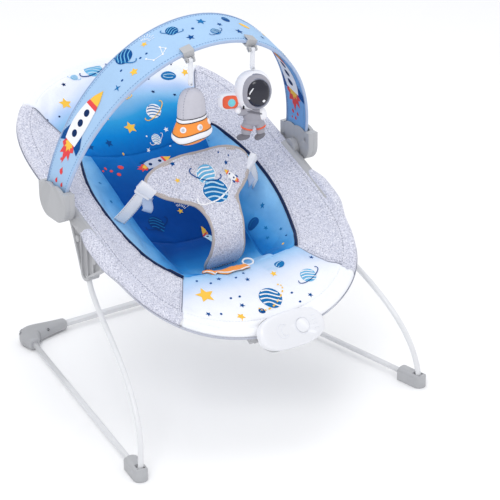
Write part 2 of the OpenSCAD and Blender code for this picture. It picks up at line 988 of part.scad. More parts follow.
module vibe_screws() {
  color(steel)
    in_cap_frame()
      for (x = [-20, 36])
        translate([x, 0, cap_gap + 2]) {
          cylinder(r = 2.8, h = 1.4);
          translate([0, 0, -1.9]) cylinder(r = 1.5, h = 2);
        }
}

// ---- toy bar ----

arch_base = [pivot_y + 13, pivot_z - 6];
core_t = 2.4;
core_w = 28;
core_start = 3.7;
sleeve_t = 7;
sleeve_start = 4.5;

// frame of the arch: X across the seat, Y up along the arch, Z across the band
module in_arch_frame() {
  translate([0, arch_base[0], arch_base[1]])
    rotate([arch_lean, 0, 0])
      children();
}

// a point of the arch's middle line in its own (x, up) plane, offset outwards
function arch_point(angle, out) =
  let (
    p = [arch_half_w * cos(angle), arch_h * sin(angle)],
    n = unit([arch_h * cos(angle), arch_half_w * sin(angle)])
  )
    p + out * n;

// the bent strip inside the sleeve, or the slot for it when grown and started lower
module core_strip(start, grow) {
  steps = 40;
  angles = [for (i = [0:steps]) mix(start, 180 - start, i / steps)];
  in_arch_frame()
    rotate([90, 0, 0])
      translate([0, 0, -core_w / 2 - grow])
        linear_extrude(core_w + 2 * grow)
          polygon(concat(
            [for (i = [0:steps]) arch_point(angles[i], core_t / 2 + grow)],
            [for (i = [steps:-1:0]) arch_point(angles[i], -core_t / 2 - grow)]
          ));
}

module bar_core() {
  color("Gainsboro") core_strip(core_start, 0);
}

function sleeve_width(angle) = mix(sleeve_w_end, sleeve_w_top, sin(angle));

// one ring of the sleeve: four outer corners, then four inner corners
function sleeve_ring(angle, t, w) =
  let (a = arch_point(angle, t / 2), b = arch_point(angle, -t / 2))
    [[a[0], -w / 2, a[1]], [a[0], w / 2, a[1]], [b[0], w / 2, b[1]], [b[0], -w / 2, b[1]]];

// padded sleeve round the strip
module bar_sleeve() {
  steps = 40;
  rings = [
    for (i = [0:steps])
      let (angle = mix(sleeve_start, 180 - sleeve_start, i / steps))
        sleeve_ring(angle, sleeve_t, sleeve_width(angle))
  ];
  color("LightSkyBlue")
    difference() {
      in_arch_frame()
        polyhedron(points = [for (r = rings) each r], faces = stack_faces(steps + 1, 4));
      core_strip(core_start - 1, 0.25);
    }
}

paddle_half_w = 37;
paddle_up = 30;
paddle_down = 17;
paddle_corner_r = 26;
paddle_screw_spots = [[-27, 18], [27, 10]];
paddle_screw_len = 12;

// the paddle's outline round the pivot: straight sides with rounded lower corners
module paddle_outline(shrink) {
  r = paddle_corner_r - shrink;
  w = paddle_half_w - shrink;
  low = shrink - paddle_down;
  high = paddle_up - shrink;
  translate([-w, low + r]) square([2 * w, high - low - r]);
  translate([r - w, low]) square([2 * (w - r), high - low]);
  for (side = [-1, 1])
    translate([side * (w - r), low + r]) circle(r = r);
}

module in_paddle_frame() {
  translate([0, pivot_y, pivot_z]) children();
}

// room for the sleeve in the paddle's top edge
module paddle_mouth(x_low, x_high) {
  half_w = sleeve_w_end / 2 + 3;
  in_arch_frame()
    translate([x_low, -half_w, 22]) cube([x_high - x_low, 2 * half_w, 40]);
}

module paddle_screw(spot, grow) {
  in_paddle_frame()
    translate([paddle_in_x + 1, spot[0], spot[1]])
      rotate([0, 90, 0]) {
        translate([0, 0, -grow]) cylinder(r = 2.6 + grow, h = 1.4 + 2 * grow);
        cylinder(r = 1.3 + grow, h = paddle_screw_len + grow);
      }
}

module paddle_inner() {
  color(grey_plastic)
    difference() {
      union() {
        difference() {
          in_paddle_frame() across_x(paddle_in_x, paddle_mid_x - 0.05) paddle_outline(0);
          in_paddle_frame()
            across_x(paddle_in_x + paddle_wall, paddle_mid_x + 1) paddle_outline(3);
          paddle_mouth(paddle_in_x + 0.9, paddle_mid_x + 1);
        }
        in_paddle_frame()
          for (spot = paddle_screw_spots)
            translate([paddle_in_x, spot[0], spot[1]])
              rotate([0, 90, 0])
                cylinder(r = 4, h = paddle_mid_x - paddle_in_x - 1.6);
      }
      in_paddle_frame()
        translate([paddle_in_x - 1, 0, 0])
          rotate([0, 90, 0])
            cylinder(r = pivot_r + pin_fit, h = 5);
      for (spot = paddle_screw_spots) {
        paddle_screw(spot, fit);
        in_paddle_frame()
          translate([paddle_in_x - 1, spot[0], spot[1]])
            rotate([0, 90, 0])
              cylinder(r = 2.6 + fit, h = 2.5);
      }
    }
}

module paddle_outer() {
  color(grey_plastic)
    difference() {
      union() {
        difference() {
          in_paddle_frame() across_x(paddle_mid_x, paddle_out_x) paddle_outline(0);
          in_paddle_frame()
            across_x(paddle_mid_x - 1, paddle_out_x - paddle_wall) paddle_outline(3);
          paddle_mouth(paddle_mid_x - 1, paddle_mid_x + 3);
        }
        // two pillars that take the screws
        in_paddle_frame()
          for (spot = paddle_screw_spots)
            translate([paddle_mid_x - 1.4, spot[0], spot[1]])
              rotate([0, 90, 0])
                cylinder(r = 3.6, h = paddle_out_x - paddle_mid_x + 0.4);
      }
      for (spot = paddle_screw_spots) paddle_screw(spot, fit);
    }
}

module paddle_screws() {
  color(steel)
    both_sides()
      for (spot = paddle_screw_spots) paddle_screw(spot, 0);
}

// ---- hanging toys ----

saucer_x = -43;
astronaut_x = 60;
pin_r = 1.5;
clip_w = 16;
strap_t = 2;

// height of the arch above its base at a given x
function arch_up(x) = arch_h * sqrt(1 - pow(x / arch_half_w, 2));

// half the sleeve's width at a given x
function half_sleeve(x) = sleeve_width(asin(arch_up(x) / arch_h)) / 2;

// point on the front edge of the band at a given x
function band_edge(x) =
  let (up = arch_up(x), w = half_sleeve(x))
    [
      x,
      arch_base[0] - up * sin(arch_lean) - w * cos(arch_lean),
      arch_base[1] + up * cos(arch_lean) - w * sin(arch_lean)
    ];

function toy_hook(x) = band_edge(x) + [0, -5, -9];

// angle of the band's slope at a given x
function band_slope(x) =
  atan2(-x * arch_h * arch_h, arch_up(x) * arch_half_w * arch_half_w);

module toy_clip(x) {
  hook = toy_hook(x);
  // jaw that grips the band's front edge
  translate(band_edge(x))
    rotate([arch_lean, 0, 0])
      rotate([0, -band_slope(x), 0])
        difference() {
          translate([-clip_w / 2, -3, -6]) cube([clip_w, 13, 12]);
          translate([-clip_w, -0.6, -4]) cube([2 * clip_w, 20, 8]);
        }
  // two ears that hold the strap's pin
  for (side = [-1, 1])
    difference() {
      translate([x + side * 5.5 - 1.2, hook[1], hook[2]]) {
        translate([0, -1.6, 0]) cube([2.4, 6.4, 5]);
        rotate([0, 90, 0]) cylinder(r = 3, h = 2.4);
      }
      translate([x - 10, hook[1], hook[2]])
        rotate([0, 90, 0])
          cylinder(r = pin_r + pin_fit, h = 20);
    }
}

module toy_clips() {
  color(grey_plastic) {
    toy_clip(saucer_x);
    toy_clip(astronaut_x);
  }
}

// strap with a cross pin at each end: along X at the top, along Y at the bottom
module toy_strap(x, length) {
  color(white_plastic)
    translate(toy_hook(x)) {
      translate([-7, 0, 0]) rotate([0, 90, 0]) cylinder(r = pin_r, h = 14);
      translate([-3, -strap_t / 2, -length]) cube([6, strap_t, length]);
      translate([0, 4.5, -length]) rotate([90, 0, 0]) cylinder(r = pin_r, h = 9);
    }
}

// two fabric ears that hang a toy on its strap's lower pin
module toy_ears() {
  for (side = [-1, 1])
    difference() {
      translate([-4, side * 2.9 - 1, -9]) cube([8, 2, 12]);
      translate([0, 10, 0]) rotate([90, 0, 0]) cylinder(r = pin_r + pin_fit, h = 20);
    }
}

// half width and height of the saucer, from its tip up to the top of its dome
saucer_profile = [
  [3, 0], [13, 5], [24, 10], [31, 16], [32, 22], [28, 31], [24, 38],
  [22, 44], [21.5, 56], [19, 67], [14, 75], [7, 80], [2, 81]
];
saucer_flatness = 0.62;

// a closed solid of oval rings, flattened along Y
module oval_stack(profile, flatness, sides) {
  points = [
    for (p = profile, i = [0:sides - 1])
      let (a = -360 * i / sides)
        [p[0] * cos(a), p[0] * flatness * sin(a), p[1]]
  ];
  polyhedron(points = points, faces = stack_faces(len(profile), sides));
}

module saucer_toy() {
  hook = toy_hook(saucer_x) - [0, 0, saucer_strap_len];
  color("SandyBrown")
    translate(hook) {
      toy_ears();
      translate([0, 0, -87]) oval_stack(saucer_profile, saucer_flatness, 32);
    }
}

module astronaut_toy() {
  hook = toy_hook(astronaut_x) - [0, 0, astronaut_strap_len];
  color("Gainsboro")
    translate(hook) {
      toy_ears();
      translate([0, 0, -28]) sphere(r = 23);
      // body
      translate([-2, 0, -76]) cylinder(r = 14, h = 30);
      // arms
      translate([-2, -9, -58]) rotate([0, -62, 0]) cylinder(r = 6, h = 24);
      translate([2, -6, -58]) rotate([0, 62, 0]) cylinder(r = 6, h = 22);
      // legs and boots
      for (side = [-1, 1])
        translate([side * 8 - 2, 0, -98]) {
          cylinder(r = 7, h = 26);
          translate([0, -5, 3]) sphere(r = 8);
        }
      // life-support pack
      translate([-52, -6, -42]) cube([42, 12, 22]);
    }
}

// ---- nodes ----

on_side(-1) front_foot();  // front_foot_left
on_side(1) front_foot();  // front_foot_right
on_side(-1) base_rail();  // base_rail_left
on_side(1) base_rail();  // base_rail_right
on_side(-1) rear_connector();  // rear_connector_left
on_side(1) rear_connector();  // rear_connector_right
in_middle() rear_crossbar();
in_middle() connector_screws();
on_side(-1) leg();  // leg_left
on_side(1) leg();  // leg_right
on_side(-1) bracket_outer();  // bracket_outer_left
on_side(1) bracket_outer();  // bracket_outer_right
on_side(-1) bracket_inner();  // bracket_inner_left
on_side(1) bracket_inner();  // bracket_inner_right
in_middle() bracket_screws();
in_middle() seat_rim_head();
in_middle() seat_rim_foot();
on_side(-1) bar_pivot();  // bar_pivot_left
on_side(1) bar_pivot();  // bar_pivot_right
on_side(-1) side_panel();  // side_panel_left
on_side(1) side_panel();  // side_panel_right
in_middle() head_panel();
in_middle() back_pad();
in_middle() seat_pad();
on_side(-1) gusset();  // gusset_left
on_side(1) gusset();  // gusset_right
in_middle() foot_panel();
in_middle() crotch_pad();
on_side(-1) waist_strap();  // waist_strap_left
on_side(1) waist_strap();  // waist_strap_right
on_side(-1) buckle();  // buckle_left
on_side(1) buckle();  // buckle_right
on_side(-1) buckle_tongue();  // buckle_tongue_left
on_side(1) buckle_tongue();  // buckle_tongue_right
in_middle() vibe_cover();
in_middle() vibe_housing();
in_middle() power_button();
in_middle() button_spring();
in_middle() battery_door();
in_middle() battery_door_screw();
in_middle() battery_cells();
in_middle() battery_contacts();
in_middle() circuit_board();
in_middle() vibe_motor();
in_middle() motor_clamp();
in_middle() eccentric_weight();
in_middle() vibe_screws();
in_middle() bar_core();
in_middle() bar_sleeve();
on_side(-1) paddle_outer();  // paddle_outer_left
on_side(1) paddle_outer();  // paddle_outer_right
on_side(-1) paddle_inner();  // paddle_inner_left
on_side(1) paddle_inner();  // paddle_inner_right
in_middle() paddle_screws();
in_middle() toy_clips();
in_middle() toy_strap(saucer_x, saucer_strap_len);  // toy_strap_left
in_middle() toy_strap(astronaut_x, astronaut_strap_len);  // toy_strap_right
in_middle() saucer_toy();
in_middle() astronaut_toy();
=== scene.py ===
import bpy
import bmesh
import json
import math
from math import sin, cos, pi, sqrt, radians, degrees
import numpy as np
from mathutils import Vector, Matrix
from mathutils.bvhtree import BVHTree


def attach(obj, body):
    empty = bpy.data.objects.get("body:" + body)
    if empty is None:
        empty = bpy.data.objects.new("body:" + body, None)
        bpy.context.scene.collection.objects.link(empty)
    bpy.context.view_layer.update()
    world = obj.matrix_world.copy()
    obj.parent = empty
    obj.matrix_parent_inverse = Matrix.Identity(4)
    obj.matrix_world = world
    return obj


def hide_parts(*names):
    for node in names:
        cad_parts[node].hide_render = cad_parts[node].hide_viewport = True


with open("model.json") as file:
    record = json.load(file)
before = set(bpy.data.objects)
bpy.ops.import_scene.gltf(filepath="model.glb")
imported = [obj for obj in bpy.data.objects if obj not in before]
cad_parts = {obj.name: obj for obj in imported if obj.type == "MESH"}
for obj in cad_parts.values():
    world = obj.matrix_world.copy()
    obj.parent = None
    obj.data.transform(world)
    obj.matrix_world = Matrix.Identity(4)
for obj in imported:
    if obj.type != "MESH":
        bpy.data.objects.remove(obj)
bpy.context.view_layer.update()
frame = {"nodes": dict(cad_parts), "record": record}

# Sizes below are in mm in the seat's own frame, as in part.scad;
# row() turns a point into metres in the shared frame, and unrow() turns it back.
SHIFT = 14.9


def row(p):
    return Vector((p[0], p[1] + SHIFT, p[2])) / 1000


def unrow(p):
    p = p * 1000
    return Vector((p.x, p.y - SHIFT, p.z))


def sm(t):
    t = min(1.0, max(0.0, t))
    return t * t * (3 - 2 * t)


def mix(a, b, t):
    return a + (b - a) * t


def spow(v, e):
    """Power that keeps the sign."""
    return math.copysign(abs(v) ** e, v)


def turns(n, start=0.0, end=2 * pi):
    return np.linspace(start, end, n, endpoint=False)


# ---- materials

def grey(v):
    return (v, v, v, 1)


def lin(hexa):
    c = [int(hexa[i:i + 2], 16) / 255 for i in (1, 3, 5)]
    return tuple(x / 12.92 if x <= 0.04045 else ((x + 0.055) / 1.055) ** 2.4 for x in c) + (1,)


def times(colour, k):
    return tuple(x * k for x in colour[:3]) + (1,)


class Mat:
    """A node material under construction, with object coordinates in metres."""

    def __init__(self, name, rough):
        self.m = bpy.data.materials.new(name)
        self.m.use_nodes = True
        self.t = self.m.node_tree
        self.b = self.t.nodes["Principled BSDF"]
        self.set(Roughness=rough)
        self.co = self.node("TexCoord", out="Object")

    def put(self, socket, v):
        if isinstance(v, bpy.types.NodeSocket):
            self.t.links.new(v, socket)
        else:
            socket.default_value = v

    def set(self, **values):
        """Sets or links the shader's own sockets; _ stands for a space."""
        for k, v in values.items():
            self.put(self.b.inputs[k.replace("_", " ")], v)

    def node(self, kind, inputs=(), out=0, **attributes):
        n = self.t.nodes.new("ShaderNode" + kind)
        for k, v in attributes.items():
            setattr(n, k, v)
        for k, v in dict(inputs).items():
            self.put(n.inputs[k], v)
        return n.outputs[out]

    def axis(self, name):
        return self.node("SeparateXYZ", {0: self.co}, name)

    def noise(self, scale, detail=2.0, rough=0.5, stretch=None):
        at = self.node("Mapping", {"Scale": stretch, "Vector": self.co}) if stretch else self.co
        return self.node("TexNoise", {"Scale": scale, "Detail": detail, "Roughness": rough, "Vector": at}, "Fac")

    def weave(self, pitch):
        """Crossed threads about 0.45 mm apart, from two sets of bands."""
        inputs = {"Scale": pitch / 6.0, "Distortion": 0.4, "Detail": 1.0, "Detail Scale": 2.0, "Vector": self.co}
        return self.math("ADD", *(self.node("TexWave", inputs, "Fac", bands_direction=d) for d in ("X", "DIAGONAL")))

    def ramp(self, fac, stops):
        n = self.t.nodes.new("ShaderNodeValToRGB")
        e = n.color_ramp.elements
        while len(e) < len(stops):
            e.new(0.5)
        for el, (position, colour) in zip(e, stops):
            el.position = position
            el.color = colour
        self.put(n.inputs["Fac"], fac)
        return n.outputs["Color"]

    def mixc(self, a, b, fac, mode="MIX"):
        return self.node("Mix", {0: fac, 6: a, 7: b}, 2, data_type="RGBA", blend_type=mode)

    def math(self, op, a, b=0.0):
        return self.node("Math", {0: a, 1: b}, operation=op)

    def bump(self, height, strength, dist, **normal):
        return self.node("Bump", {"Strength": strength, "Distance": dist, "Height": height, **normal})

    def rough(self, fac, low, high):
        self.set(Roughness=self.node("MapRange", {"To Min": low, "To Max": high, "Value": fac}))

    def mottled(self, colour, depth, fac):
        return self.mixc(lin(colour), times(lin(colour), depth), fac)


def fabric(name, colour, sheen=0.04, tint=0.05, bump=0.18, pitch=2300, wrinkle=0.12):
    """Woven cloth: thread bump, slight mottling and soft creases."""
    m = Mat(name, 0.85)
    mott, fine = m.noise(55, 3.0), m.noise(900, 1.0)
    if callable(colour):
        base = m.mixc(colour(m), m.ramp(mott, [(0.3, grey(1 - tint)), (0.7, grey(1))]), 1.0, "MULTIPLY")
    else:
        base = m.mottled(colour, 1 - 2 * tint, mott)
    m.rough(fine, 0.78, 0.92)
    soft = m.bump(m.noise(28, 3.0, 0.55), wrinkle, 0.006)
    m.set(Base_Color=m.mixc(base, m.ramp(fine, [(0.35, grey(0.96)), (0.65, grey(1))]), 1.0, "MULTIPLY"),
          Normal=m.bump(m.weave(pitch), bump, 0.0003, Normal=soft),
          Sheen_Weight=sheen, Sheen_Roughness=0.4, Specular_IOR_Level=0.1)
    return m.m


def melange(name):
    """Grey melange knit: light and dark specks 1.5 to 3 mm across in short dashes."""
    m = Mat(name, 0.9)
    a = m.noise(430, 2.5, 0.62, (1.35, 0.8, 1.0))
    b = m.noise(640, 2.0, 0.6, (0.8, 1.3, 1.2))
    c = m.ramp(a, [(0.36, lin("#7F8398")), (0.47, lin("#C9CBDB")), (0.56, lin("#C9CBDB")), (0.66, lin("#F4F4FA"))])
    d = m.ramp(b, [(0.34, lin("#8E92A6")), (0.48, lin("#D2D4E2")), (0.62, lin("#F2F2F8"))])
    m.rough(b, 0.82, 0.95)
    soft = m.bump(m.noise(24, 2.0), 0.12, 0.005)
    height = m.math("ADD", m.weave(1900), m.math("MULTIPLY", a, 1.5))
    m.set(Base_Color=m.mixc(c, d, 0.45), Normal=m.bump(height, 0.25, 0.0004, Normal=soft),
          Sheen_Weight=0.2, Sheen_Roughness=0.45, Specular_IOR_Level=0.2)
    return m.m


def plastic(name, colour, rough=0.42, grain=0.06, wear=0.05, coat=0.0):
    """Moulded plastic: fine spark-eroded grain, faint flow mottling and a slightly paler colour on sharp edges."""
    m = Mat(name, rough)
    edge = m.ramp(m.node("NewGeometry", out="Pointiness"), [(0.49, grey(0)), (0.56, grey(1))])
    light = tuple(min(1, x * 1.12 + 0.01) for x in lin(colour)[:3]) + (1,)
    m.rough(m.noise(1500, 1.0), rough - 0.06, rough + 0.08)
    m.set(Base_Color=m.mixc(m.mottled(colour, 1 - 2 * wear, m.noise(35, 4.0)), light, edge),
          Normal=m.bump(m.noise(2200, 1.0), grain, 0.0002), Coat_Weight=coat, Coat_Roughness=0.2)
    return m.m


def metal(name, colour, rough=0.3, metallic=1.0, coat=0.0, ripple=0.05):
    """Plated or coated metal with a faint orange-peel ripple."""
    m = Mat(name, rough)
    m.rough(m.noise(300, 3.0), rough - 0.05, rough + 0.1)
    m.set(Base_Color=m.mottled(colour, 0.9, m.noise(60, 4.0)), Normal=m.bump(m.noise(260, 1.0), ripple, 0.0004),
          Metallic=metallic, Coat_Weight=coat, Coat_Roughness=0.15)
    return m.m


def plush(name, colour, tint=0.05):
    """Short-pile plush: soft clumps, strong sheen and a ragged fine bump."""
    m = Mat(name, 0.95)
    clump = m.noise(160, 3.0)
    m.rough(clump, 0.85, 1.0)
    m.set(Base_Color=m.mottled(colour, 1 - 2 * tint, clump),
          Normal=m.bump(m.math("ADD", clump, m.noise(900, 2.0)), 0.35, 0.0006),
          Sheen_Weight=0.5, Sheen_Roughness=0.35, Specular_IOR_Level=0.2)
    return m.m


def vinyl(name):
    m = Mat(name, 0.12)
    m.rough(m.noise(400, 2.0), 0.10, 0.22)
    m.set(Base_Color=m.mixc(lin("#1C1D28"), lin("#2A2B38"), m.noise(18, 2.0)), Coat_Weight=0.25,
          Specular_IOR_Level=0.3, Coat_Roughness=0.08)
    return m.m


# the printed cloth's colour runs along the seat, from the foot end to the head end
GRADIENT = [
    (-250, "#F8F9FD"), (-205, "#F1F4FB"), (-182, "#E2E8F6"), (-160, "#BCD2F0"), (-142, "#9CC7EE"),
    (-122, "#83B8E8"), (-100, "#5FA6DE"), (-80, "#2A82C8"), (-58, "#0B5BA4"), (-38, "#04448E"),
    (0, "#034494"), (60, "#0450A0"), (80, "#085BAA"), (100, "#0668B8"), (120, "#0872C4"),
    (140, "#0384D2"), (160, "#2E9BD8"), (180, "#86B9E2"), (200, "#B2CBF0"), (220, "#E6ECF9"),
    (250, "#F2F4FB"),
]
G_LOW, G_HIGH = -270, 265


def y_gradient(m):
    drift = m.math("MULTIPLY", m.math("SUBTRACT", m.noise(9, 2.0), 0.5), 0.03)
    y = m.math("ADD", m.axis("Y"), drift)
    # near the head the pale end comes further down at the sides than in the middle
    above = m.math("MAXIMUM", m.math("SUBTRACT", y, 0.1), 0.0)
    side = m.math("POWER", m.math("ABSOLUTE", m.axis("X")), 2.0)
    y = m.math("ADD", y, m.math("MULTIPLY", m.math("MULTIPLY", side, 22.0), above))
    share = m.node("MapRange", {"From Min": (G_LOW + SHIFT) / 1000, "From Max": (G_HIGH + SHIFT) / 1000, "Value": y})
    return m.ramp(share, [((y0 - G_LOW) / (G_HIGH - G_LOW), lin(c)) for y0, c in GRADIENT])


def gusset_colour(m):
    """Light blue that deepens down the wall and towards the fold."""
    side = m.math("MULTIPLY", m.math("ABSOLUTE", m.axis("X")), 11.0)
    f = m.math("ADD", side, m.math("MULTIPLY", m.noise(14, 3.0), 0.5))
    stops = [(0.52, "#1F7AC6"), (0.62, "#4A9ADA"), (0.78, "#85BEEC"), (0.95, "#A5D2F4")]
    return m.ramp(m.math("MULTIPLY", f, 0.5), [(p, lin(c)) for p, c in stops])


BINDING = dict(tint=0.06, bump=0.35, pitch=1900)
THREAD = dict(bump=0.5, pitch=5000)
M = {
    "melange": melange("grey_melange_knit"),
    "print": fabric("printed_cloth", y_gradient, tint=0.03, wrinkle=0.3),
    "gusset": fabric("light_blue_cloth", gusset_colour, wrinkle=0.5),
    "lining": fabric("white_lining", "#E4E6EC", tint=0.04),
    "piping": fabric("navy_piping", "#16284F", sheen=0.3, bump=0.3, pitch=3000),
    "edge_strip": fabric("edge_strip", "#C3C6D3", tint=0.04, bump=0.25, pitch=2600),
    "pad_binding": fabric("beige_grey_binding", "#BCB3B0", **BINDING),
    "webbing": fabric("white_webbing", "#ECEEF4", tint=0.03, bump=0.6, pitch=1500),
    "bar_out": fabric("sleeve_light_blue", "#A9CAEC", tint=0.04),
    "bar_in": fabric("sleeve_mid_blue", "#7DB0E4", tint=0.05),
    "bar_edge": fabric("sleeve_binding", "#B4C6E4", **BINDING),
    "thread_grey": fabric("grey_thread", "#8E93A6", **THREAD),
    "thread_bar": fabric("bar_thread", "#7D9BC8", **THREAD),
    "black_cord": fabric("black_cord", "#232430", bump=0.5, pitch=4000),
    "grey": plastic("grey_moulding", "#A7A8AB", 0.45, 0.1),
    "grey_dark": plastic("grey_moulding_dark", "#8F9093", 0.5, 0.1),
    # near-black for the rear elbows' holes: painted shade standing in for their depth
    "recess": plastic("dark_recess", "#2B2C2F", 0.6, 0.05),
    "white": plastic("white_moulding", "#DFE0E5", 0.3, 0.03, 0.02, coat=0.2),
    "white_line": plastic("relief_shade", "#D9DBE2", 0.4, 0.03, 0.02),
    "cell": plastic("battery_sleeve", "#B98A2C", 0.3, 0.03, coat=0.3),
    "board": plastic("circuit_board_green", "#1C5B35", 0.4, 0.05),
    "strip": plastic("clear_strip", "#D8DADC", 0.35, 0.03),
    "steel_white": metal("white_powder_coat", "#E3E4E7", 0.32, 0.0, 0.35, 0.08),
    "zinc": metal("zinc_plated_steel", "#B9BBBF"),
    "spring": metal("bright_spring_wire", "#C4C6CA", 0.2),
    "sintered": metal("sintered_weight", "#5A5B5E", 0.55, 0.9, 0.0, 0.3),
    "dome": plush("grey_plush", "#C7C6D0"),
    "orange": plush("orange_plush", "#FB9B4A"),
    "orange_red": plush("orange_red_plush", "#EF6A4A"),
    "white_plush": plush("white_plush", "#F1F1F6", 0.03),
    "grey_plush": plush("mid_grey_plush", "#A3A2AC"),
    "dark_plush": plush("dark_grey_plush", "#76757E"),
    "aqua": plush("aqua_plush", "#7FD2DE"),
    "visor": vinyl("visor_vinyl"),
}
INK = {
    "navy": "#14305F", "blue": "#1A73B4", "deep": "#0B4F94", "sky": "#6FB9E4", "pale": "#BBDDF3",
    "white": "#F7F8FC", "yellow": "#FBC850", "red": "#EA4F52", "orange": "#F8A055", "grey": "#C9D0E2",
    "shade": "#0A3C7C",
}


def ink(colour):
    """Printed ink on cloth, as a name in M: it follows the threads and is slightly uneven."""
    key = "ink_" + colour
    if key not in M:
        M[key] = fabric(key, INK[colour], sheen=0.05, tint=0.06, bump=0.15, wrinkle=0.08)
    return key


# ---- mesh helpers

def make(name, verts, faces, mats, slot=None, body="seat", face_mats=None):
    """A smooth piece from points in mm; mats is a name in M, or a list of names."""
    me = bpy.data.meshes.new(name)
    me.from_pydata([row(v) for v in verts], [], faces)
    for m in mats if isinstance(mats, list) else [mats]:
        me.materials.append(M[m])
    if face_mats:
        me.polygons.foreach_set("material_index", face_mats)
    me.validate()
    me.shade_smooth()
    o = bpy.data.objects.new(name, me)
    bpy.context.scene.collection.objects.link(o)
    fix = bmesh.new()
    fix.from_mesh(me)
    bmesh.ops.recalc_face_normals(fix, faces=fix.faces)
    fix.to_mesh(me)
    fix.free()
    if body:
        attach(o, body)
    return o


def modifier(o, kind, **kw):
    m = o.modifiers.new(kind.lower(), kind)
    for k, v in kw.items():
        setattr(m, k, v)
    return m


def subdivide(o):
    modifier(o, "SUBSURF", levels=1, render_levels=1)
    return o


def loft(rings, closed=False, first=True, last=True, base=0):
    """Points and faces of a skin over rings of equal length, with a face on either end."""
    n, m = len(rings), len(rings[0])
    faces = [(i * m + k, (i + 1) % n * m + k, (i + 1) % n * m + (k + 1) % m, i * m + (k + 1) % m)
             for i in range(n if closed else n - 1) for k in range(m)]
    if first and not closed:
        faces.append(tuple(range(m)))
    if last and not closed:
        faces.append(tuple((n - 1) * m + k for k in reversed(range(m))))
    return [v for ring in rings for v in ring], [tuple(base + i for i in f) for f in faces]


def fan(centre, rings, base=0):
    """Points and faces of a disc: a centre and rings of equal length round it."""
    verts, faces = loft(rings, first=False, last=False, base=base + 1)
    m = len(rings[0])
    return [centre] + verts, [(base, base + 1 + i, base + 1 + (i + 1) % m) for i in range(m)] + faces


def circle(c, u, w, r, n):
    return [c + (u * cos(a) + w * sin(a)) * r for a in turns(n)]


def upright(n):
    """Two directions across n: one level, one upwards."""
    u = n.cross(Vector((0, 0, 1))).normalized()
    return u, u.cross(n)


def tangents(pts, closed=False):
    n = len(pts)
    ends = [(pts[i - 1] if i or closed else pts[0], pts[(i + 1) % n] if i < n - 1 or closed else pts[-1])
            for i in range(n)]
    return [(b - a).normalized() for a, b in ends]


def tube(name, path, r, mat, slot, body="seat", sides=8, closed=False):
    """A round cord along a path, with the least twist."""
    tang = tangents(path, closed)
    up = Vector((0, 0, 1)) if abs(tang[0].z) < 0.9 else Vector((1, 0, 0))
    side = tang[0].cross(up).normalized()
    rings = []
    for i, (p, t) in enumerate(zip(path, tang)):
        side = (side - t * side.dot(t)).normalized()
        rings.append(circle(p, side, t.cross(side).normalized(), r[i] if isinstance(r, list) else r, sides))
    return make(name, *loft(rings, closed), mat, slot, body)


def ribbon(name, path, normals, width, thick, mat, slot, body="seat", crown=0.0, cols=8):
    """A flat strap along a path; normals point out of its face."""
    half = [(2 * c / cols - 1, 1 - 0.35 * (c in (0, cols))) for c in range(cols + 1)]
    prof = half + [(s, -h) for s, h in reversed(half)]
    rings = []
    for i, (p, t) in enumerate(zip(path, tangents(path))):
        n = (normals[i] - t * normals[i].dot(t)).normalized()
        w = width[i] if isinstance(width, list) else width
        rings.append([p + t.cross(n) * (s * w / 2) + n * (h * thick / 2 + crown * (1 - s * s)) for s, h in prof])
    return make(name, *loft(rings), mat, slot, body)


STITCH_GAP, STITCH_LIFT, STITCH_SUNK = 1.6, 0.25, 0.1
STITCH_ENDS = ((0.0, 0.15), (0.15, 0.85), (0.5, 1.0), (0.85, 0.85), (1.0, 0.15))


def stitches(name, path, normals, mat, slot, body="seat", length=3.0, r=0.38):
    """A row of separate thread stitches along a path, half sunk in the cloth."""
    at = [0.0]
    for a, b in zip(path, path[1:]):
        at.append(at[-1] + (b - a).length)

    def point(s):
        i = max(0, min(len(path) - 2, int(np.searchsorted(at, s)) - 1))
        t = (s - at[i]) / max(1e-9, at[i + 1] - at[i])
        return path[i].lerp(path[i + 1], t), normals[i].lerp(normals[i + 1], t).normalized()

    verts, faces = [], []
    s = STITCH_GAP
    while s + length < at[-1]:
        rings = []
        for f, k in STITCH_ENDS:
            p, n = point(s + f * length)
            t = (point(s + f * length + 0.1)[0] - p).normalized()
            side = t.cross(n).normalized()
            p = p + n * (STITCH_LIFT * sin(pi * f) - STITCH_SUNK)
            rings.append([p + k * r * (cos(a) * side + sin(a) * n) for a in (0.5, 1.55, 2.6, 3.67, 4.7, 5.76)])
        v, f = loft(rings, base=len(verts))
        verts += v
        faces += f
        s += length + STITCH_GAP
    return make(name, verts, faces, mat, slot, body)


def surface_tree(objs):
    """A ray-cast tree of the final shape of these pieces."""
    dg = bpy.context.evaluated_depsgraph_get()
    verts, polys = [], []
    for o in objs:
        e = o.evaluated_get(dg)
        me = e.to_mesh()
        base = len(verts)
        verts += [v.co.copy() for v in me.vertices]
        polys += [tuple(base + i for i in p.vertices) for p in me.polygons]
        e.to_mesh_clear()
    return BVHTree.FromPolygons(verts, polys)


def cast(tree, p, n):
    """Where a ray from p against n meets the tree, in mm, and the surface's normal on n's side."""
    hit = tree.ray_cast(row(p), -n)
    if hit[0] is None:
        return None
    return unrow(hit[0]), hit[1] if hit[1].dot(n) > 0 else -hit[1]


# ---- seat surface

HALF_LENGTH, HALF_WIDTH = 250, 188
OUTLINE_U, OUTLINE_V = 2.9, 2.15            # exponents of the rim's outline
POCKET_Y, POCKET_HEAD, POCKET_FOOT = 10, 177, 212
POCKET_HALF = 136
FOLD, FOLD_X = -140.0, 95.5                 # the fold between seat and foot panel
HEAD_Y, HEAD_X = 111.0, 109                 # the seam between back and head panel
BACK_Y = -20                                # the seam between seat and back pad
EDGE_SHARE = 0.955
HEAD_ANGLE, FOOT_ANGLE = 139.0, 39.8
HEAD_ANGLE_LEFT, FOOT_ANGLE_LEFT = 360 - HEAD_ANGLE, 360 - FOOT_ANGLE


def reach(u):
    return HALF_WIDTH * (1 + 0.02 * u + 0.22 * u * u)


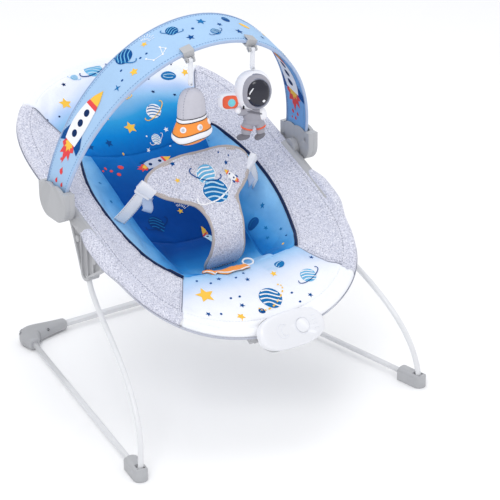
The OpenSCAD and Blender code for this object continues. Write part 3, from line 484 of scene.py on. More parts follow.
def rim_z(u, v):
    return 298 + 120.5 * u - 13.5 * u * u - (6.6 + 22 * u) * v * v


def rim_uv(angle):
    """angle in degrees, 0 at the foot end and 180 at the head end; + is the right side"""
    a = radians(angle)
    return -spow(cos(a), 2 / OUTLINE_U), spow(sin(a), 2 / OUTLINE_V)


def rim_point(angle):
    u, v = rim_uv(angle)
    return Vector((reach(u) * v, HALF_LENGTH * u, rim_z(u, v)))


def rim_frame(angle):
    """The rim's point, direction along it and level direction into the seat."""
    c = rim_point(angle)
    along_rim = (rim_point(angle + 0.4) - rim_point(angle - 0.4)).normalized()
    inward = Vector((-along_rim.y, along_rim.x, 0)).normalized()
    return c, along_rim, -inward if inward.dot(Vector((c.x, c.y * 0.7, 0))) > 0 else inward


def pocket_length(y):
    return POCKET_HEAD if y > POCKET_Y else POCKET_FOOT


def cover_z(x, y):
    u = max(-1.02, min(1.02, y / HALF_LENGTH))
    v = x / reach(u)
    rho = (abs(u) ** OUTLINE_U + abs(v) ** OUTLINE_V) ** 0.4
    q = sqrt((x / POCKET_HALF) ** 2 + ((y - POCKET_Y) / pocket_length(y)) ** 2)
    z = rim_z(u, v)
    z -= 17 * (0.35 + 0.65 * sm((y + 150) / 70)) * sm((1 - rho) / 0.27)
    z -= (62 - 24 * sm((y + 40) / 140)) * max(0.0, 1 - q ** 2.2) * sm((y + 158) / 62)
    return z + 5.5 * sm((rho - 0.86) / 0.09)


def cover_normal(x, y, e=1.5):
    dx = (cover_z(x + e, y) - cover_z(x - e, y)) / (2 * e)
    dy = (cover_z(x, y + e) - cover_z(x, y - e)) / (2 * e)
    return Vector((-dx, -dy, 1)).normalized()


def on_cover(x, y, off=0.0):
    return Vector((x, y, cover_z(x, y))) + cover_normal(x, y) * off


def gusset_x(y):
    return 80 + 0.155 * y


def piping_x(y):
    return POCKET_HALF * sqrt(max(0.0, 1 - ((y - POCKET_Y) / pocket_length(y)) ** 2))


def rim_edge(angle):
    u, v = rim_uv(angle)
    return (EDGE_SHARE * reach(u) * v, EDGE_SHARE * HALF_LENGTH * u)


def curve(points):
    """A function from 0..1 along the points, by arc length."""
    pts = np.array(points, float)
    seg = np.r_[0, np.cumsum(np.linalg.norm(np.diff(pts, axis=0), axis=1))]
    seg /= seg[-1]
    return lambda t: np.array([np.interp(t, seg, pts[:, 0]), np.interp(t, seg, pts[:, 1])])


def coons(bottom, top, left, right):
    b, t, l, r = curve(bottom), curve(top), curve(left), curve(right)

    def at(s, k):
        p = (1 - k) * b(s) + k * t(s) + (1 - s) * l(k) + s * r(k)
        return p - ((1 - s) * (1 - k) * b(0) + s * (1 - k) * b(1) + (1 - s) * k * t(0) + s * k * t(1))
    return at


def mirror(pts):
    return [(-x, y) for x, y in pts]


def across(x, y):
    return [(-x, y), (x, y)]


def rim_edges(a0, a1, n):
    return [rim_edge(a) for a in np.linspace(a0, a1, n)]


def gusset_pad(y0, y1):
    """A pad between the gussets, from one seam to the next."""
    wall = [(gusset_x(y), y) for y in (y0, y1)]
    return coons(across(gusset_x(y0), y0), across(gusset_x(y1), y1), mirror(wall), wall)


head_seam = [(HEAD_X + 37 * max(0.0, t) ** 1.9, HEAD_Y + 95 * t) for t in np.linspace(0, 1, 12)]
head_seam[-1] = rim_edge(HEAD_ANGLE)
fold_end, foot_end = np.array((FOLD_X, FOLD)), np.array(rim_edge(FOOT_ANGLE))
foot_seam = [tuple(fold_end * (1 - t) + foot_end * t) for t in np.linspace(0, 1, 8)]
pipe_line = [(piping_x(y), y) for y in np.linspace(FOLD, HEAD_Y, 40)]
pipe_line[0], pipe_line[-1] = (FOLD_X, FOLD), (HEAD_X, HEAD_Y)
gusset_line = [(gusset_x(y), y) for y in (FOLD, HEAD_Y)]

PANELS = {
    # name: (map, columns, rows, thickness, puff, top material, slot)
    "side_panel_right": (coons(foot_seam, head_seam, pipe_line, rim_edges(FOOT_ANGLE, HEAD_ANGLE, 60)),
                         16, 72, 7, 1.2, "melange", "grey_melange"),
    "head_panel": (coons(across(HEAD_X, HEAD_Y), rim_edges(HEAD_ANGLE_LEFT, HEAD_ANGLE, 60), mirror(head_seam),
                         head_seam), 44, 24, 7, 1.5, "print", "printed_white"),
    "back_pad": (gusset_pad(BACK_Y, HEAD_Y), 34, 26, 12, 2.5, "print", "printed_blue"),
    "seat_pad": (gusset_pad(FOLD, BACK_Y), 30, 24, 12, 2.5, "print", "printed_blue"),
    "gusset_right": (coons([gusset_line[0], (FOLD_X, FOLD)], [gusset_line[1], (HEAD_X, HEAD_Y)], gusset_line,
                           pipe_line), 9, 50, 7, 1.8, "gusset", "light_blue"),
    "foot_panel": (coons(rim_edges(-FOOT_ANGLE, FOOT_ANGLE, 50), across(FOLD_X, FOLD), mirror(foot_seam[::-1]),
                         foot_seam[::-1]), 40, 20, 7, 1.6, "print", "printed_white"),
}


def padded_grid(cols, rows, point):
    """Two layers of a grid joined round their edge; point(layer, s, k) gives a point and whether it is pinned."""
    verts, pinned = [], []
    for layer in (0, 1):
        for r in range(rows + 1):
            for c in range(cols + 1):
                p, on_edge = point(layer, c / cols, r / rows)
                if on_edge:
                    pinned.append(len(verts))
                verts.append(p)
    w = cols + 1
    n = (rows + 1) * w
    faces = [(a, a + 1, a + w + 1, a + w) for layer in (0, 1) for r in range(rows)
             for a in range(layer * n + r * w, layer * n + r * w + cols)]
    ring = list(range(w)) + [r * w + cols for r in range(1, rows + 1)]
    ring += [rows * w + c for c in reversed(range(cols))] + [r * w for r in reversed(range(1, rows))]
    faces += [(a, b, n + b, n + a) for a, b in zip(ring, ring[1:] + ring[:1])]
    return verts, faces, pinned


def dome(d):
    """A quarter circle from 0 at d = 0 to 1 at d = 1."""
    return sqrt(max(0.0, 1 - (1 - min(1.0, d)) ** 2))


def pillow(name, at, cols, rows, thick, puff, top_mat, slot, flip):
    """Closed padded panel: cloth on top, lining below, joined at a 2 mm edge."""
    def point(layer, s, k):
        d = min(min(s, 1 - s) * cols, min(k, 1 - k) * rows) * 5.5 / 16
        inner = min(s, 1 - s, k, 1 - k) * 2
        off = puff * dome(d) * (0.75 + 0.25 * inner) if layer == 0 else -2.0 - (thick - 2.0) * dome(d)
        p = on_cover(*at(s, k), off)
        return Vector((-p.x, p.y, p.z)) if flip else p, d == 0

    verts, faces, pinned = padded_grid(cols, rows, point)
    top = cols * rows
    lining = [0] * top + [1] * top + [0] * (len(faces) - 2 * top)
    return make(name, verts, faces, [top_mat, "lining"], slot, None, lining), pinned


def inflate(o, pinned, cap):
    """Cloth simulation with air pressure inside; no point moves further than cap mm."""
    frames = 20
    group = o.vertex_groups.new(name="pin")
    group.add(pinned, 1.0, "REPLACE")
    cloth = modifier(o, "CLOTH")
    s = cloth.settings
    s.quality = 5
    s.use_pressure = True
    s.uniform_pressure_force = 4.0
    s.vertex_group_mass = "pin"
    s.shrink_min = -0.03
    s.tension_stiffness = s.compression_stiffness = 15
    s.bending_stiffness = 0.4
    s.effector_weights.gravity = 0
    cloth.collision_settings.use_self_collision = False
    cloth.point_cache.frame_end = frames
    scene = bpy.context.scene
    before = np.array([v.co[:] for v in o.data.vertices])
    for f in range(1, frames + 1):
        scene.frame_set(f)
    got = o.evaluated_get(bpy.context.evaluated_depsgraph_get())
    after = np.array([v.co[:] for v in got.data.vertices])
    o.modifiers.remove(cloth)
    o.vertex_groups.remove(group)
    d = after - before
    length = np.linalg.norm(d, axis=1)
    far = cap / 1000
    d *= (far * np.tanh(length / far) / np.maximum(length, 1e-9))[:, None]
    o.data.vertices.foreach_set("co", (before + d).ravel())
    o.data.update()
    scene.frame_set(1)


def padded(o, pinned, cap, node):
    """Inflates a padded piece, rides it on the seat and puts it in its CAD node's place."""
    inflate(o, pinned, cap)
    subdivide(o)
    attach(o, "seat")
    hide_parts(node)
    return o


cover = []
for name, (at, cols, rows, thick, puff, mat, slot) in PANELS.items():
    knit = mat == "melange"
    for piece in [name, name.replace("right", "left")] if name.endswith("right") else [name]:
        o, pinned = pillow("cover_" + piece, at, cols, rows, thick, puff, mat, slot, piece != name)
        cover.append(padded(o, pinned, 3.0 if knit else 4.5, piece))
seat_tree = surface_tree(cover)


def drop(x, y, off=0.3, tree=None):
    """Point of the seat's upper surface under (x, y) and its normal."""
    hit = cast(tree or seat_tree, (x, y, 700), Vector((0, 0, 1)))
    p, n = hit or (on_cover(x, y), cover_normal(x, y))
    return p + n * off, n


# ---- hem round the rim tube

HEM_RADIUS = 7.3
# the hem's tail: mm inward from the rim, and mm off the cover
TAIL = ((9.5, -1.6), (14.5, -0.6), (15.5, 0.4), (13.5, 0.75), (9.8, 0.9), (6.0, 1.0))


def hem(name, a0, a1, mat, slot):
    """The cover's edge wrapped round the tube: a soft tear shape whose tail lies on the panel."""
    rings, strip, strip_normals = [], [], []
    steps = max(10, int(abs(a1 - a0) / 1.6))
    for i in range(steps + 1):
        ang = mix(a0, a1, i / steps)
        c, tang, level = rim_frame(ang)
        up = tang.cross(level).normalized()
        if up.z < 0:
            up = -up
        inward = (up.cross(tang)).normalized()
        if inward.dot(level) < 0:
            inward = -inward
        r = HEM_RADIUS + 0.25 * sin(7 * radians(ang)) * cos(3 * radians(ang))
        wide = 8.0 * sm((c.y + 132) / 36) * sm((-28 - c.y) / 34)
        ring = []
        for phi in range(55, 306, 25):
            a = radians(phi)
            out = wide * abs(min(0.0, cos(a))) ** 0.6
            lift = 0.8 * wide * max(0.0, sin(a)) ** 0.6
            ring.append(c + (r * cos(a) - out) * inward + (r * sin(a) + lift) * up)
        a = radians(222)
        strip.append(c + ((r + 0.5) * cos(a) + wide * cos(a)) * inward + (r + 0.5) * sin(a) * up)
        strip_normals.append(cos(a) * inward + sin(a) * up)
        plan = Vector((inward.x, inward.y)).normalized()
        rings.append(ring + [on_cover(c.x + plan.x * d, c.y + plan.y * d, off) for d, off in TAIL])
    o = subdivide(make(name, *loft(rings), mat, slot))
    return o, strip, strip_normals


hems = [
    hem("hem_right", FOOT_ANGLE - 0.3, HEAD_ANGLE + 0.3, "melange", "grey_melange"),
    hem("hem_left", HEAD_ANGLE_LEFT - 0.3, FOOT_ANGLE_LEFT + 0.3, "melange", "grey_melange"),
    hem("hem_head", HEAD_ANGLE, HEAD_ANGLE_LEFT, "print", "printed_white"),
    hem("hem_foot", -FOOT_ANGLE, FOOT_ANGLE, "print", "printed_white"),
]
for o, strip, normals in hems:
    ribbon("edge_strip_" + o.name[4:], strip, normals, 6.0, 1.0, "edge_strip", "grey_melange", crown=0.4)
hem_tree = surface_tree([h[0] for h in hems] + cover)


def along(points, off, step=4.0):
    """The points of a plan line laid on the surface, evenly spaced, with their normals."""
    c = curve(points)
    total = sum(math.dist(a, b) for a, b in zip(points, points[1:]))
    n = max(4, int(total / step))
    got = [drop(*c(i / n), off, hem_tree) for i in range(n + 1)]
    return [g[0] for g in got], [g[1] for g in got]


def inner_rim(a0, a1):
    """A line 12.6 mm inside the rim."""
    frames = [rim_frame(a) for a in np.linspace(a0, a1, 121)]
    return [(c.x + level.x * 12.6, c.y + level.y * 12.6) for c, _, level in frames]


def sewn(name, line, mat="thread_grey", slot="grey_melange", r=0.3):
    stitches(name, *along(line, 0.15), mat, slot, r=r)


def welt(name, line, off, r, mat, slot, sides=8):
    tube(name, along(line, off, step=5)[0], r, mat, slot, sides=sides)


# topstitching along the hem, on each side of the rim
sewn("stitch_hem_right", inner_rim(FOOT_ANGLE + 1.5, HEAD_ANGLE - 1.5), r=0.38)
sewn("stitch_hem_left", inner_rim(HEAD_ANGLE_LEFT + 1.5, FOOT_ANGLE_LEFT - 1.5), r=0.38)
sewn("stitch_hem_head", inner_rim(HEAD_ANGLE + 1.5, HEAD_ANGLE_LEFT - 1.5), "webbing", "printed_white", 0.32)
sewn("stitch_hem_foot", inner_rim(1.5 - FOOT_ANGLE, FOOT_ANGLE - 1.5), "webbing", "printed_white", 0.32)

# navy piping round the pocket, and seam welts
SIDES = (("right", 1), ("left", -1))
for tag, side in SIDES:
    def moved(line, out=0.0):
        return [(side * (x + out), y) for x, y in line]

    welt("piping_" + tag, moved(pipe_line), 1.1, 2.5, "piping", "printed_blue", 12)
    sewn("stitch_piping_" + tag, moved(pipe_line, 6.0))
    for seam, what in ((head_seam, "head"), (foot_seam, "foot")):
        welt(f"welt_{what}_{tag}", moved(seam), 0.0, 0.9, "thread_grey", "grey_melange")
        sewn(f"stitch_{what}_{tag}", moved(seam, 4.0))
for name, y, half in (("welt_fold", FOLD, 94), ("welt_head", HEAD_Y, 107), ("welt_back", BACK_Y, 75)):
    welt(name, across(half, y), -0.2, 1.2, "print", "printed_blue")
for tag, side in SIDES:
    wall = [(side * gusset_x(y), y) for y in np.linspace(FOLD + 3, HEAD_Y - 2, 30)]
    welt("welt_gusset_" + tag, wall, -0.7, 1.6, "gusset", "light_blue")


# ---- toy bar

ARCH_A, ARCH_H, LEAN, BASE = 205.4, 254.0, radians(17), (25.0, 296.0)
W_END, W_TOP = 47.0, 73.0
UP = Vector((0, -sin(LEAN), cos(LEAN)))
ACROSS = Vector((0, cos(LEAN), sin(LEAN)))


def bar_width(deg):
    return mix(W_END, W_TOP, sin(radians(deg)))


def bar_at(deg, t, off=0.0, inside=False):
    """Point of the band at an angle (0 right, 180 left) and t mm across it, towards the head end, and its normal."""
    a = radians(deg)
    out = (Vector((ARCH_H * cos(a), 0, 0)) + ARCH_A * sin(a) * UP).normalized()
    c = Vector((ARCH_A * cos(a), *BASE)) + ARCH_H * sin(a) * UP + ACROSS * t
    s = max(-1.0, min(1.0, 2 * t / bar_width(deg)))
    half = 3.4 - 2.1 * s ** 4 + 0.3 * sin(6.1 * a + 1.0) * (1 - s * s) * sin(9 * a)
    half -= 0.7 * sm((17 - min(deg, 180 - deg)) / 5)
    k = -1 if inside else 1
    return c + out * (k * (half + off)), out * k


def sleeve(steps=110, cols=14):
    rings = []
    for i in range(steps + 1):
        deg = mix(4.6, 175.4, i / steps)
        ts = [bar_width(deg) / 2 * (2 * c / cols - 1) for c in range(cols + 1)]
        rings.append([bar_at(deg, t)[0] for t in ts] + [bar_at(deg, t, 0, True)[0] for t in reversed(ts)])
    outer, edge, inner = 0, 2, 1
    round_one = [outer] * cols + [edge] + [inner] * cols + [edge]
    o = make("bar_cover", *loft(rings), ["bar_out", "bar_in", "bar_edge"], "sleeve_blue", "toy_bar",
             round_one * steps + [edge, edge])
    subdivide(o)
    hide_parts("bar_sleeve")


sleeve()
for tag, side in (("head", 1), ("foot", -1)):
    path = []
    for d in np.linspace(5.5, 174.5, 130):
        t = side * (bar_width(d) / 2 - 0.6)
        path.append((bar_at(d, t)[0] + bar_at(d, t, 0, True)[0]) / 2)
    ribbon("bar_binding_" + tag, path, [ACROSS * side] * len(path), 4.4, 1.5, "bar_edge", "sleeve_blue", "toy_bar", 0.5)
    for where, inside in (("out", False), ("in", True)):
        line = [bar_at(d, side * (bar_width(d) / 2 - 5.0), 0.1, inside) for d in np.linspace(8, 172, 160)]
        stitches(f"stitch_bar_{where}_{tag}", *map(list, zip(*line)), "thread_bar", "sleeve_blue", "toy_bar", r=0.34)

# ---- printed shapes
# A drawing is a list of (ink, outline) pairs, laid one over the other.


def spin(shape, a):
    return [(x * cos(a) - y * sin(a), x * sin(a) + y * cos(a)) for x, y in shape]


def shift(shape, dx, dy=0.0):
    return [(x + dx, y + dy) for x, y in shape]


def disc(r, squash=1.0, turn=0.0):
    return spin([(r * cos(a), r * squash * sin(a)) for a in turns(22)], turn)


def dot(colour, *shape):
    return [(colour, disc(*shape))]


def star(colour, r, depth=0.5, turn=0.3, points=5):
    arms = [r, r * depth] * points
    return [(colour, [(arm * cos(turn + a), arm * sin(turn + a)) for arm, a in zip(arms, turns(2 * points))])]


def stroke(colour, points, w):
    """A thin line as a list of short quads."""
    out = []
    for (x0, y0), (x1, y1) in zip(points, points[1:]):
        l = max(1e-6, math.hypot(x1 - x0, y1 - y0))
        nx, ny = -(y1 - y0) / l * w / 2, (x1 - x0) / l * w / 2
        out.append((colour, [(x0 + nx, y0 + ny), (x1 + nx, y1 + ny), (x1 - nx, y1 - ny), (x0 - nx, y0 - ny)]))
    return out


def dash(colour, l, w, a):
    return stroke(colour, [(-l / 2 * cos(a), -l / 2 * sin(a)), (l / 2 * cos(a), l / 2 * sin(a))], w)


def arc(colour, r, squash, turn, a0, a1, w, n=14):
    return stroke(colour, spin([(r * cos(a), r * squash * sin(a)) for a in np.linspace(a0, a1, n + 1)], turn), w)


def planet(r, body, ring, turn=0.4, stripes="white", dashed=False):
    """A striped planet with a ring."""
    out = dot(body, r)
    for k in (-0.62, -0.2, 0.22, 0.62):
        half = r * sqrt(1 - k * k) * 0.92
        pts = [(mix(-half, half, i / 8), k * r + 0.16 * r * sin(pi * i / 8 * 1.4)) for i in range(9)]
        out += stroke(stripes, spin(pts, -turn * 0.7), r * 0.13)
    ringed = arc(ring, r * 1.75, 0.36, turn, pi * 0.86, pi * 2.14, r * 0.12, 22)
    return out + (ringed[1::2] if dashed else ringed)


def moon(body, line, disc_size, *arcs):
    """A plain planet with light bows on it."""
    return sum((arc(line, *a) for a in arcs), dot(body, *disc_size))


def comet(r, turn=0.0, rays="white"):
    out = star("yellow", r, 0.45)
    for k in range(7):
        a = turn + (k - 3) * 0.24
        for r0, r1 in ((r * 1.5, r * 2.3), (r * 2.7, r * (3.4 + 0.5 * (k % 2)))):
            out += stroke(rays, [(r0 * cos(a), r0 * sin(a)), (r1 * cos(a), r1 * sin(a))], r * 0.16)
    return out


FLAME = [(-0.34, -0.7), (-0.42, -0.95), (-0.45, -0.6), (-0.56, -0.75), (-0.52, -0.3), (-0.66, 0.0), (-0.52, 0.3),
         (-0.56, 0.75), (-0.45, 0.6), (-0.42, 0.95), (-0.34, 0.7)]
NOSE = [(0.24, -0.72), (0.36, -0.5), (0.5, 0), (0.36, 0.5), (0.24, 0.72)]
BAND = [(0.22, -0.78), (0.285, -0.66), (0.285, 0.66), (0.22, 0.78)]
FIN = [(-0.36, 0.7), (-0.12, 0.9), (-0.3, 1.5), (-0.42, 1.45)]
HULL = [(-0.34, -0.8)] + [(mix(-0.34, 0.2, i / 16), -(0.8 + 0.2 * sin(pi * i / 16))) for i in range(1, 17)] + \
    [(mix(0.2, 0.3, i / 3), -(0.8 - 0.07 * i)) for i in range(1, 4)]
HULL += [(x, -y) for x, y in reversed(HULL)]


def rocket(length, turn=0.0, hull="white", windows=3):
    """A generic rocket pointing along +X, its flame behind it."""
    w = length * 0.15

    def sized(shape, dx=0.0, sx=1.0, sy=1.0):
        return [((x * sx + dx) * length, y * sy * w) for x, y in shape]

    out = [("red", sized(FLAME)), ("yellow", sized(FLAME, -0.19, 0.45, 0.6)), ("deep", sized(FIN)),
           ("deep", sized(FIN, sy=-1)), (hull, sized(HULL)), ("yellow", sized(NOSE)), ("red", sized(BAND))]
    for k in range(windows):
        out.append(("navy", shift(disc(w * 0.34), mix(-0.2, 0.12, k / max(1, windows - 1)) * length)))
    return [(c, spin(s, turn)) for c, s in out]


def spark(r):
    """A drop-shaped spark of a rocket's flame."""
    drop_shape = [(-1, 0), (-0.6, -0.62), (0.1, -0.8), (0.7, -0.4), (1.5, 0), (0.7, 0.4), (0.1, 0.8), (-0.6, 0.62)]
    return [("red", [(x * r, y * r) for x, y in drop_shape])]


PRINTS = {}
PRINT_CELL = 2.5        # no printed facet is longer, so that it can follow a curved surface
PRINT_LIFT = 0.25


def refine(poly):
    out = []
    for (x0, y0), (x1, y1) in zip(poly, poly[1:] + poly[:1]):
        n = max(1, int(math.hypot(x1 - x0, y1 - y0) / PRINT_CELL))
        out += [(mix(x0, x1, i / n), mix(y0, y1, i / n)) for i in range(n)]
    return out


def stamp(group, drawing, place, lift=PRINT_LIFT):
    """Lays a drawing on a surface: place(x, y, height) gives the point."""
    for order, (colour, poly) in enumerate(drawing):
        poly = refine(poly)
        cx = sum(p[0] for p in poly) / len(poly)
        cy = sum(p[1] for p in poly) / len(poly)
        n = max(1, int(max(math.hypot(x - cx, y - cy) for x, y in poly) / PRINT_CELL))
        h = lift + 0.07 * min(order, 6)
        verts, faces = PRINTS.setdefault((group, colour), ([], []))
        rings = [[place(mix(cx, x, r / n), mix(cy, y, r / n), h) for x, y in poly] for r in range(1, n + 1)]
        v, f = fan(place(cx, cy, h), rings, len(verts))
        verts += v
        faces += f


def flush_prints(group, body, slot):
    for (g, colour), (verts, faces) in PRINTS.items():
        if g == group:
            make(f"print_{group}_{colour}", verts, faces, ink(colour), slot, body)


def seat_place(x0, y0):
    """Drawing frame on the seat: the shape's x across the seat and y up it."""
    slope = 1.0 / sqrt(1 + ((cover_z(x0, y0 + 4) - cover_z(x0, y0 - 4)) / 8) ** 2)
    side = 1.0 / sqrt(1 + ((cover_z(x0 + 4, y0) - cover_z(x0 - 4, y0)) / 8) ** 2)
    return lambda x, y, h: drop(x0 + x * side, y0 + y * slope, h)[0]


def bar_place(deg, t, inside):
    """Drawing frame on the band: x along it towards the left foot, y across it."""
    a = radians(deg)
    rate = degrees(1 / math.hypot(ARCH_A * sin(a), ARCH_H * cos(a)))

    def place(x, y, h):
        d = deg + x * rate
        lim = bar_width(d) / 2 - 2.0
        return bar_at(d, max(-lim, min(lim, t + y)), h, inside)[0]
    return place


SEAT_PRINTS = [
    # the head panel
    (-70, 236, dash("navy", 7, 2.4, -0.5)), (-18, 232, planet(15, "sky", "deep", 0.3, "pale")),
    (-54, 226, planet(6, "pale", "sky", -0.5, "sky")), (-76, 219, star("navy", 4.2)), (-120, 219, dot("navy", 1.8)),
    (-129, 211, star("blue", 4.0, turn=0.9)), (-88, 194, star("yellow", 10.5, turn=0.2)), (-108, 177, dot("navy", 1.7)),
    (-127, 179, dot("navy", 1.7)), (61, 203, dot("navy", 1.7)), (109, 214, dash("navy", 6, 1.8, 0.6)),
    (114, 221, dash("navy", 5, 1.8, -0.4)), (123, 198, star("yellow", 6.5)),
    (94, 199, moon("blue", "pale", (12.5, 0.62, -0.25), (10, 0.3, -0.25, 0.2, 2.6, 1.1),
                   (9, 0.35, -0.35, 3.4, 5.6, 1.1))),
    (56, 182, star("navy", 3.6)), (86, 169, star("navy", 3.2)),
    (12, 183, arc("yellow", 8, 0.42, 0.25, 0, 2 * pi, 1.4, 26) + dot("yellow", 2.4, 0.8)),
    (40, 155, planet(12, "white", "yellow", 0.5, "blue")),
    (-44, 156, arc("yellow", 9, 0.4, 0.2, 0.2, 3.2, 1.5) + [("yellow", shift(disc(2.2), -7, -2))]),
    (-8, 143, star("yellow", 10.5, turn=0.35)), (-55, 126, star("deep", 6.5, turn=0.5)),
    (-87, 125, star("deep", 6.5, turn=0.1)), (23, 121, planet(7.5, "white", "white", 0.35, "sky")),
    (44, 127, star("white", 4.2, 0.45)), (4, 112, star("white", 3.4, 0.45, 0.8)), (39, 108, dot("white", 1.5)),
    (10, 127, dot("white", 1.4)),
    # the back and the seat
    (2, 88, rocket(56, 0.18, "grey", 2)), (-58, 89, dot("red", 4.6)), (-68, 77, dot("red", 3.4)),
    (-76, 85, dot("red", 2.6)), (-83, 90, dot("red", 2.2)), (-89, 86, dot("red", 1.6)), (-39, 113, dot("yellow", 1.5)),
    (-2, 16, comet(5.2, 1.0)), (-50, 4, planet(13, "shade", "shade", 0.35, "blue")),
    (-26, 44, stroke("white", [(-9, 5), (8, -4)], 0.8)), (20, -28, rocket(40, 1.75, "pale", 2)),
    # the side walls
    *((x, y, star("blue", r, 0.45, r))
      for x, y, r in ((94, 92, 4.5), (106, -38, 4.6), (93, -66, 4.2), (106, -86, 3.4), (84, -84, 4.0))),
    (84, -47, moon("deep", "blue", (11, 0.7, 0.3), (8, 0.4, 0.3, 0.3, 2.8, 1.0))), (101, -107, dot("deep", 1.8)),
    (88, -118, dot("yellow", 1.9)), (-108, 63, star("blue", 3.6, 0.45)), (-107, 34, star("blue", 3.2, 0.45, 0.9)),
    # the foot panel
    *((x, y, dot("deep", 2.1, 0.8, 0.4))
      for x, y in ((-81, -153), (-65, -164), (-24, -165), (-51, -193), (-37, -194), (-80, -213), (-91, -225),
                   (39, -211), (40, -230), (85, -227))),
    *((x, y, star("deep", r, 0.42, x))
      for x, y, r in ((-48, -158, 4.4), (-10, -173, 4.2), (-42, -208, 4.8), (-100, -212, 4.8), (61, -225, 4.4),
                      (104, -166, 4.2), (-9, -161, 3.0))),
    (-84, -179, star("yellow", 14.5, turn=0.25)), (-56, -226, star("yellow", 6.8, turn=0.6)),
    (32, -176, comet(5.6, 1.3, "pale")), (5, -208, dot("white", 17.5) + planet(17, "blue", "yellow", 0.5, dashed=True)),
    (-20, -224, moon("deep", "sky", (5.2, 0.9), (3.4, 0.5, 0.4, 0.2, 3.0, 0.7))),
    (50, -164, moon("blue", "pale", (8.5, 0.8, 0.3), (6.4, 0.5, 0.5, 0.2, 2.9, 1.0))),
    (79, -194, planet(12, "sky", "deep", 0.35)),
]
for x, y, drawing in SEAT_PRINTS:
    stamp("seat", drawing, seat_place(x, y))

CONSTELLATION = [(115.7, -8), (114, -18), (110, -18), (109, -3.5), (107.7, -11.4), (110, -18)]
MM_PER_DEGREE = 4.4
BAR_PRINTS = [(d, t, spark(-r))
              for d, t, r in ((165.2, -3, 5.0), (169.3, 2, 3.6), (169.0, -12, 3.2), (172.0, 9, 2.6), (161.8, 6, 2.4))]
BAR_PRINTS += [
    (146.5, 2.5, rocket(104, pi)), (130, -13, star("blue", 6.2, 0.28, points=4)),
    (122, -12.5, star("yellow", 6.6, 0.55, 0.7)),
    *((d, t, dot("deep", 1.9, 0.8)) for d, t in ((125, 5), (127, -9.5), (117, 0), (114.3, 0))),
    (121, 22, planet(13, "deep", "blue", 1.2, "sky")), (112.6, 17, comet(5.0, 2.4)),
]
for (d0, t0), (d1, t1) in zip(CONSTELLATION, CONSTELLATION[1:]):
    x, y = (d1 - d0) / 2 * MM_PER_DEGREE, (t1 - t0) / 2
    BAR_PRINTS.append(((d0 + d1) / 2, (t0 + t1) / 2, stroke("white", [(-x, -y), (x, y)], 0.9)))
BAR_PRINTS += [
    *((d, t, dot("white", 1.5)) for d, t in CONSTELLATION[:5]),
    (101, 14, planet(9, "deep", "blue", 0.5, "sky")), (97, -12, star("deep", 6.4, 0.45, 0.4)),
    (93.5, 4, dot("deep", 2.2)), (88, 15, star("blue", 7.5, 0.45, 0.9)),
    (86, -13, planet(7.5, "blue", "deep", -0.4, "pale")),
    (81.5, 3, star("deep", 4.6, 0.45, 0.1)), (76, 17, moon("deep", "sky", (6.5,), (4.5, 0.5, 0.4, 0.2, 3.0, 0.9))),
    (75, -14, star("deep", 6.6, 0.45, 0.6)), (68, 8, dot("yellow", 9, 0.5, 0.4)), (62, -12, star("deep", 4.4, 0.45)),
    (56, 10, comet(5.0, 0.6)), (46, -6, planet(9, "deep", "blue", 0.5, "sky")), (32, 6, rocket(80)),
    *((d, t, spark(r)) for d, t, r in ((14, -4, 3.4), (12, 6, 2.6), (16, 10, 2.2))),
]
# the band's inner face, seen on the far leg
INNER_PRINTS = [
    (36, 0, rocket(128)),
    *((d, t, spark(r))
      for d, t, r in ((19.0, 2, 5.4), (15.2, -7, 3.4), (14.6, 6, 3.8), (12.4, -1, 3.0), (11.6, 8, 2.2))),
    (56, 9, star("yellow", 6.2, turn=0.4)), (53, -12, star("deep", 4.8, 0.45)), (144, 0, rocket(128, pi)),
    (124, 8, star("yellow", 6.2)),
    *((d, 12 * sin(d * 1.7), star("deep", 4.4, 0.45, d)) for d in range(66, 120, 11)),
]
for prints, inside in ((BAR_PRINTS, False), (INNER_PRINTS, True)):
    for d, t, drawing in prints:
        stamp("bar", drawing, bar_place(d, t, inside))

flush_prints("seat", "seat", "printed_white")
flush_prints("bar", "toy_bar", "sleeve_blue")

# ---- harness

# y, z and half width along the pad, from its lower end up
PAD_ROWS = np.array([
    (-86, 194, 24), (-97, 208, 30), (-107, 226, 28), (-111, 246, 25.5), (-109, 266, 25.5), (-98, 283, 28),
    (-83, 295.5, 36), (-75.5, 301.5, 54), (-69, 307, 72), (-62, 316, 84), (-56, 327, 86), (-49, 340, 72),
    (-43, 350, 48), (-40, 355, 24),
], float)
PAD_AT = np.r_[0, np.cumsum(np.hypot(np.diff(PAD_ROWS[:, 0]), np.diff(PAD_ROWS[:, 1])))]
PAD_LEN = float(PAD_AT[-1])
PAD_THICK = 7.0


def spline(s, k):
    """Smooth value of column k of the pad's rows at s mm along it."""
    i = max(0, min(len(PAD_AT) - 2, int(np.searchsorted(PAD_AT, s)) - 1))
    t = (s - PAD_AT[i]) / (PAD_AT[i + 1] - PAD_AT[i])
    p0, p1, p2, p3 = (PAD_ROWS[max(0, min(len(PAD_ROWS) - 1, j)), k] for j in (i - 1, i, i + 1, i + 2))
    return 0.5 * (2 * p1 + (p2 - p0) * t + (2 * p0 - 5 * p1 + 4 * p2 - p3) * t * t +
                  (3 * p1 - p0 - 3 * p2 + p3) * t ** 3)


def pad_point(s, x):
    y, z = spline(s, 0), spline(s, 1)
    return Vector((x, y + 26 * (x / 83) ** 2 * sm((z - 270) / 40), z))


def pad_front(s, x, off=0.0):
    s = min(PAD_LEN - 0.6, max(0.6, s))
    ds = pad_point(s + 0.5, x) - pad_point(s - 0.5, x)
    dx = pad_point(s, x + 0.5) - pad_point(s, x - 0.5)
    n = dx.cross(ds).normalized()
    if n.y > 0:
        n = -n
    return pad_point(s, x) + n * off, n


def pad_half(s):
    return max(spline(s, 2), 18.0) * (1 - 0.25 * (1 - min(1.0, (PAD_LEN - s) / 6)) ** 2)


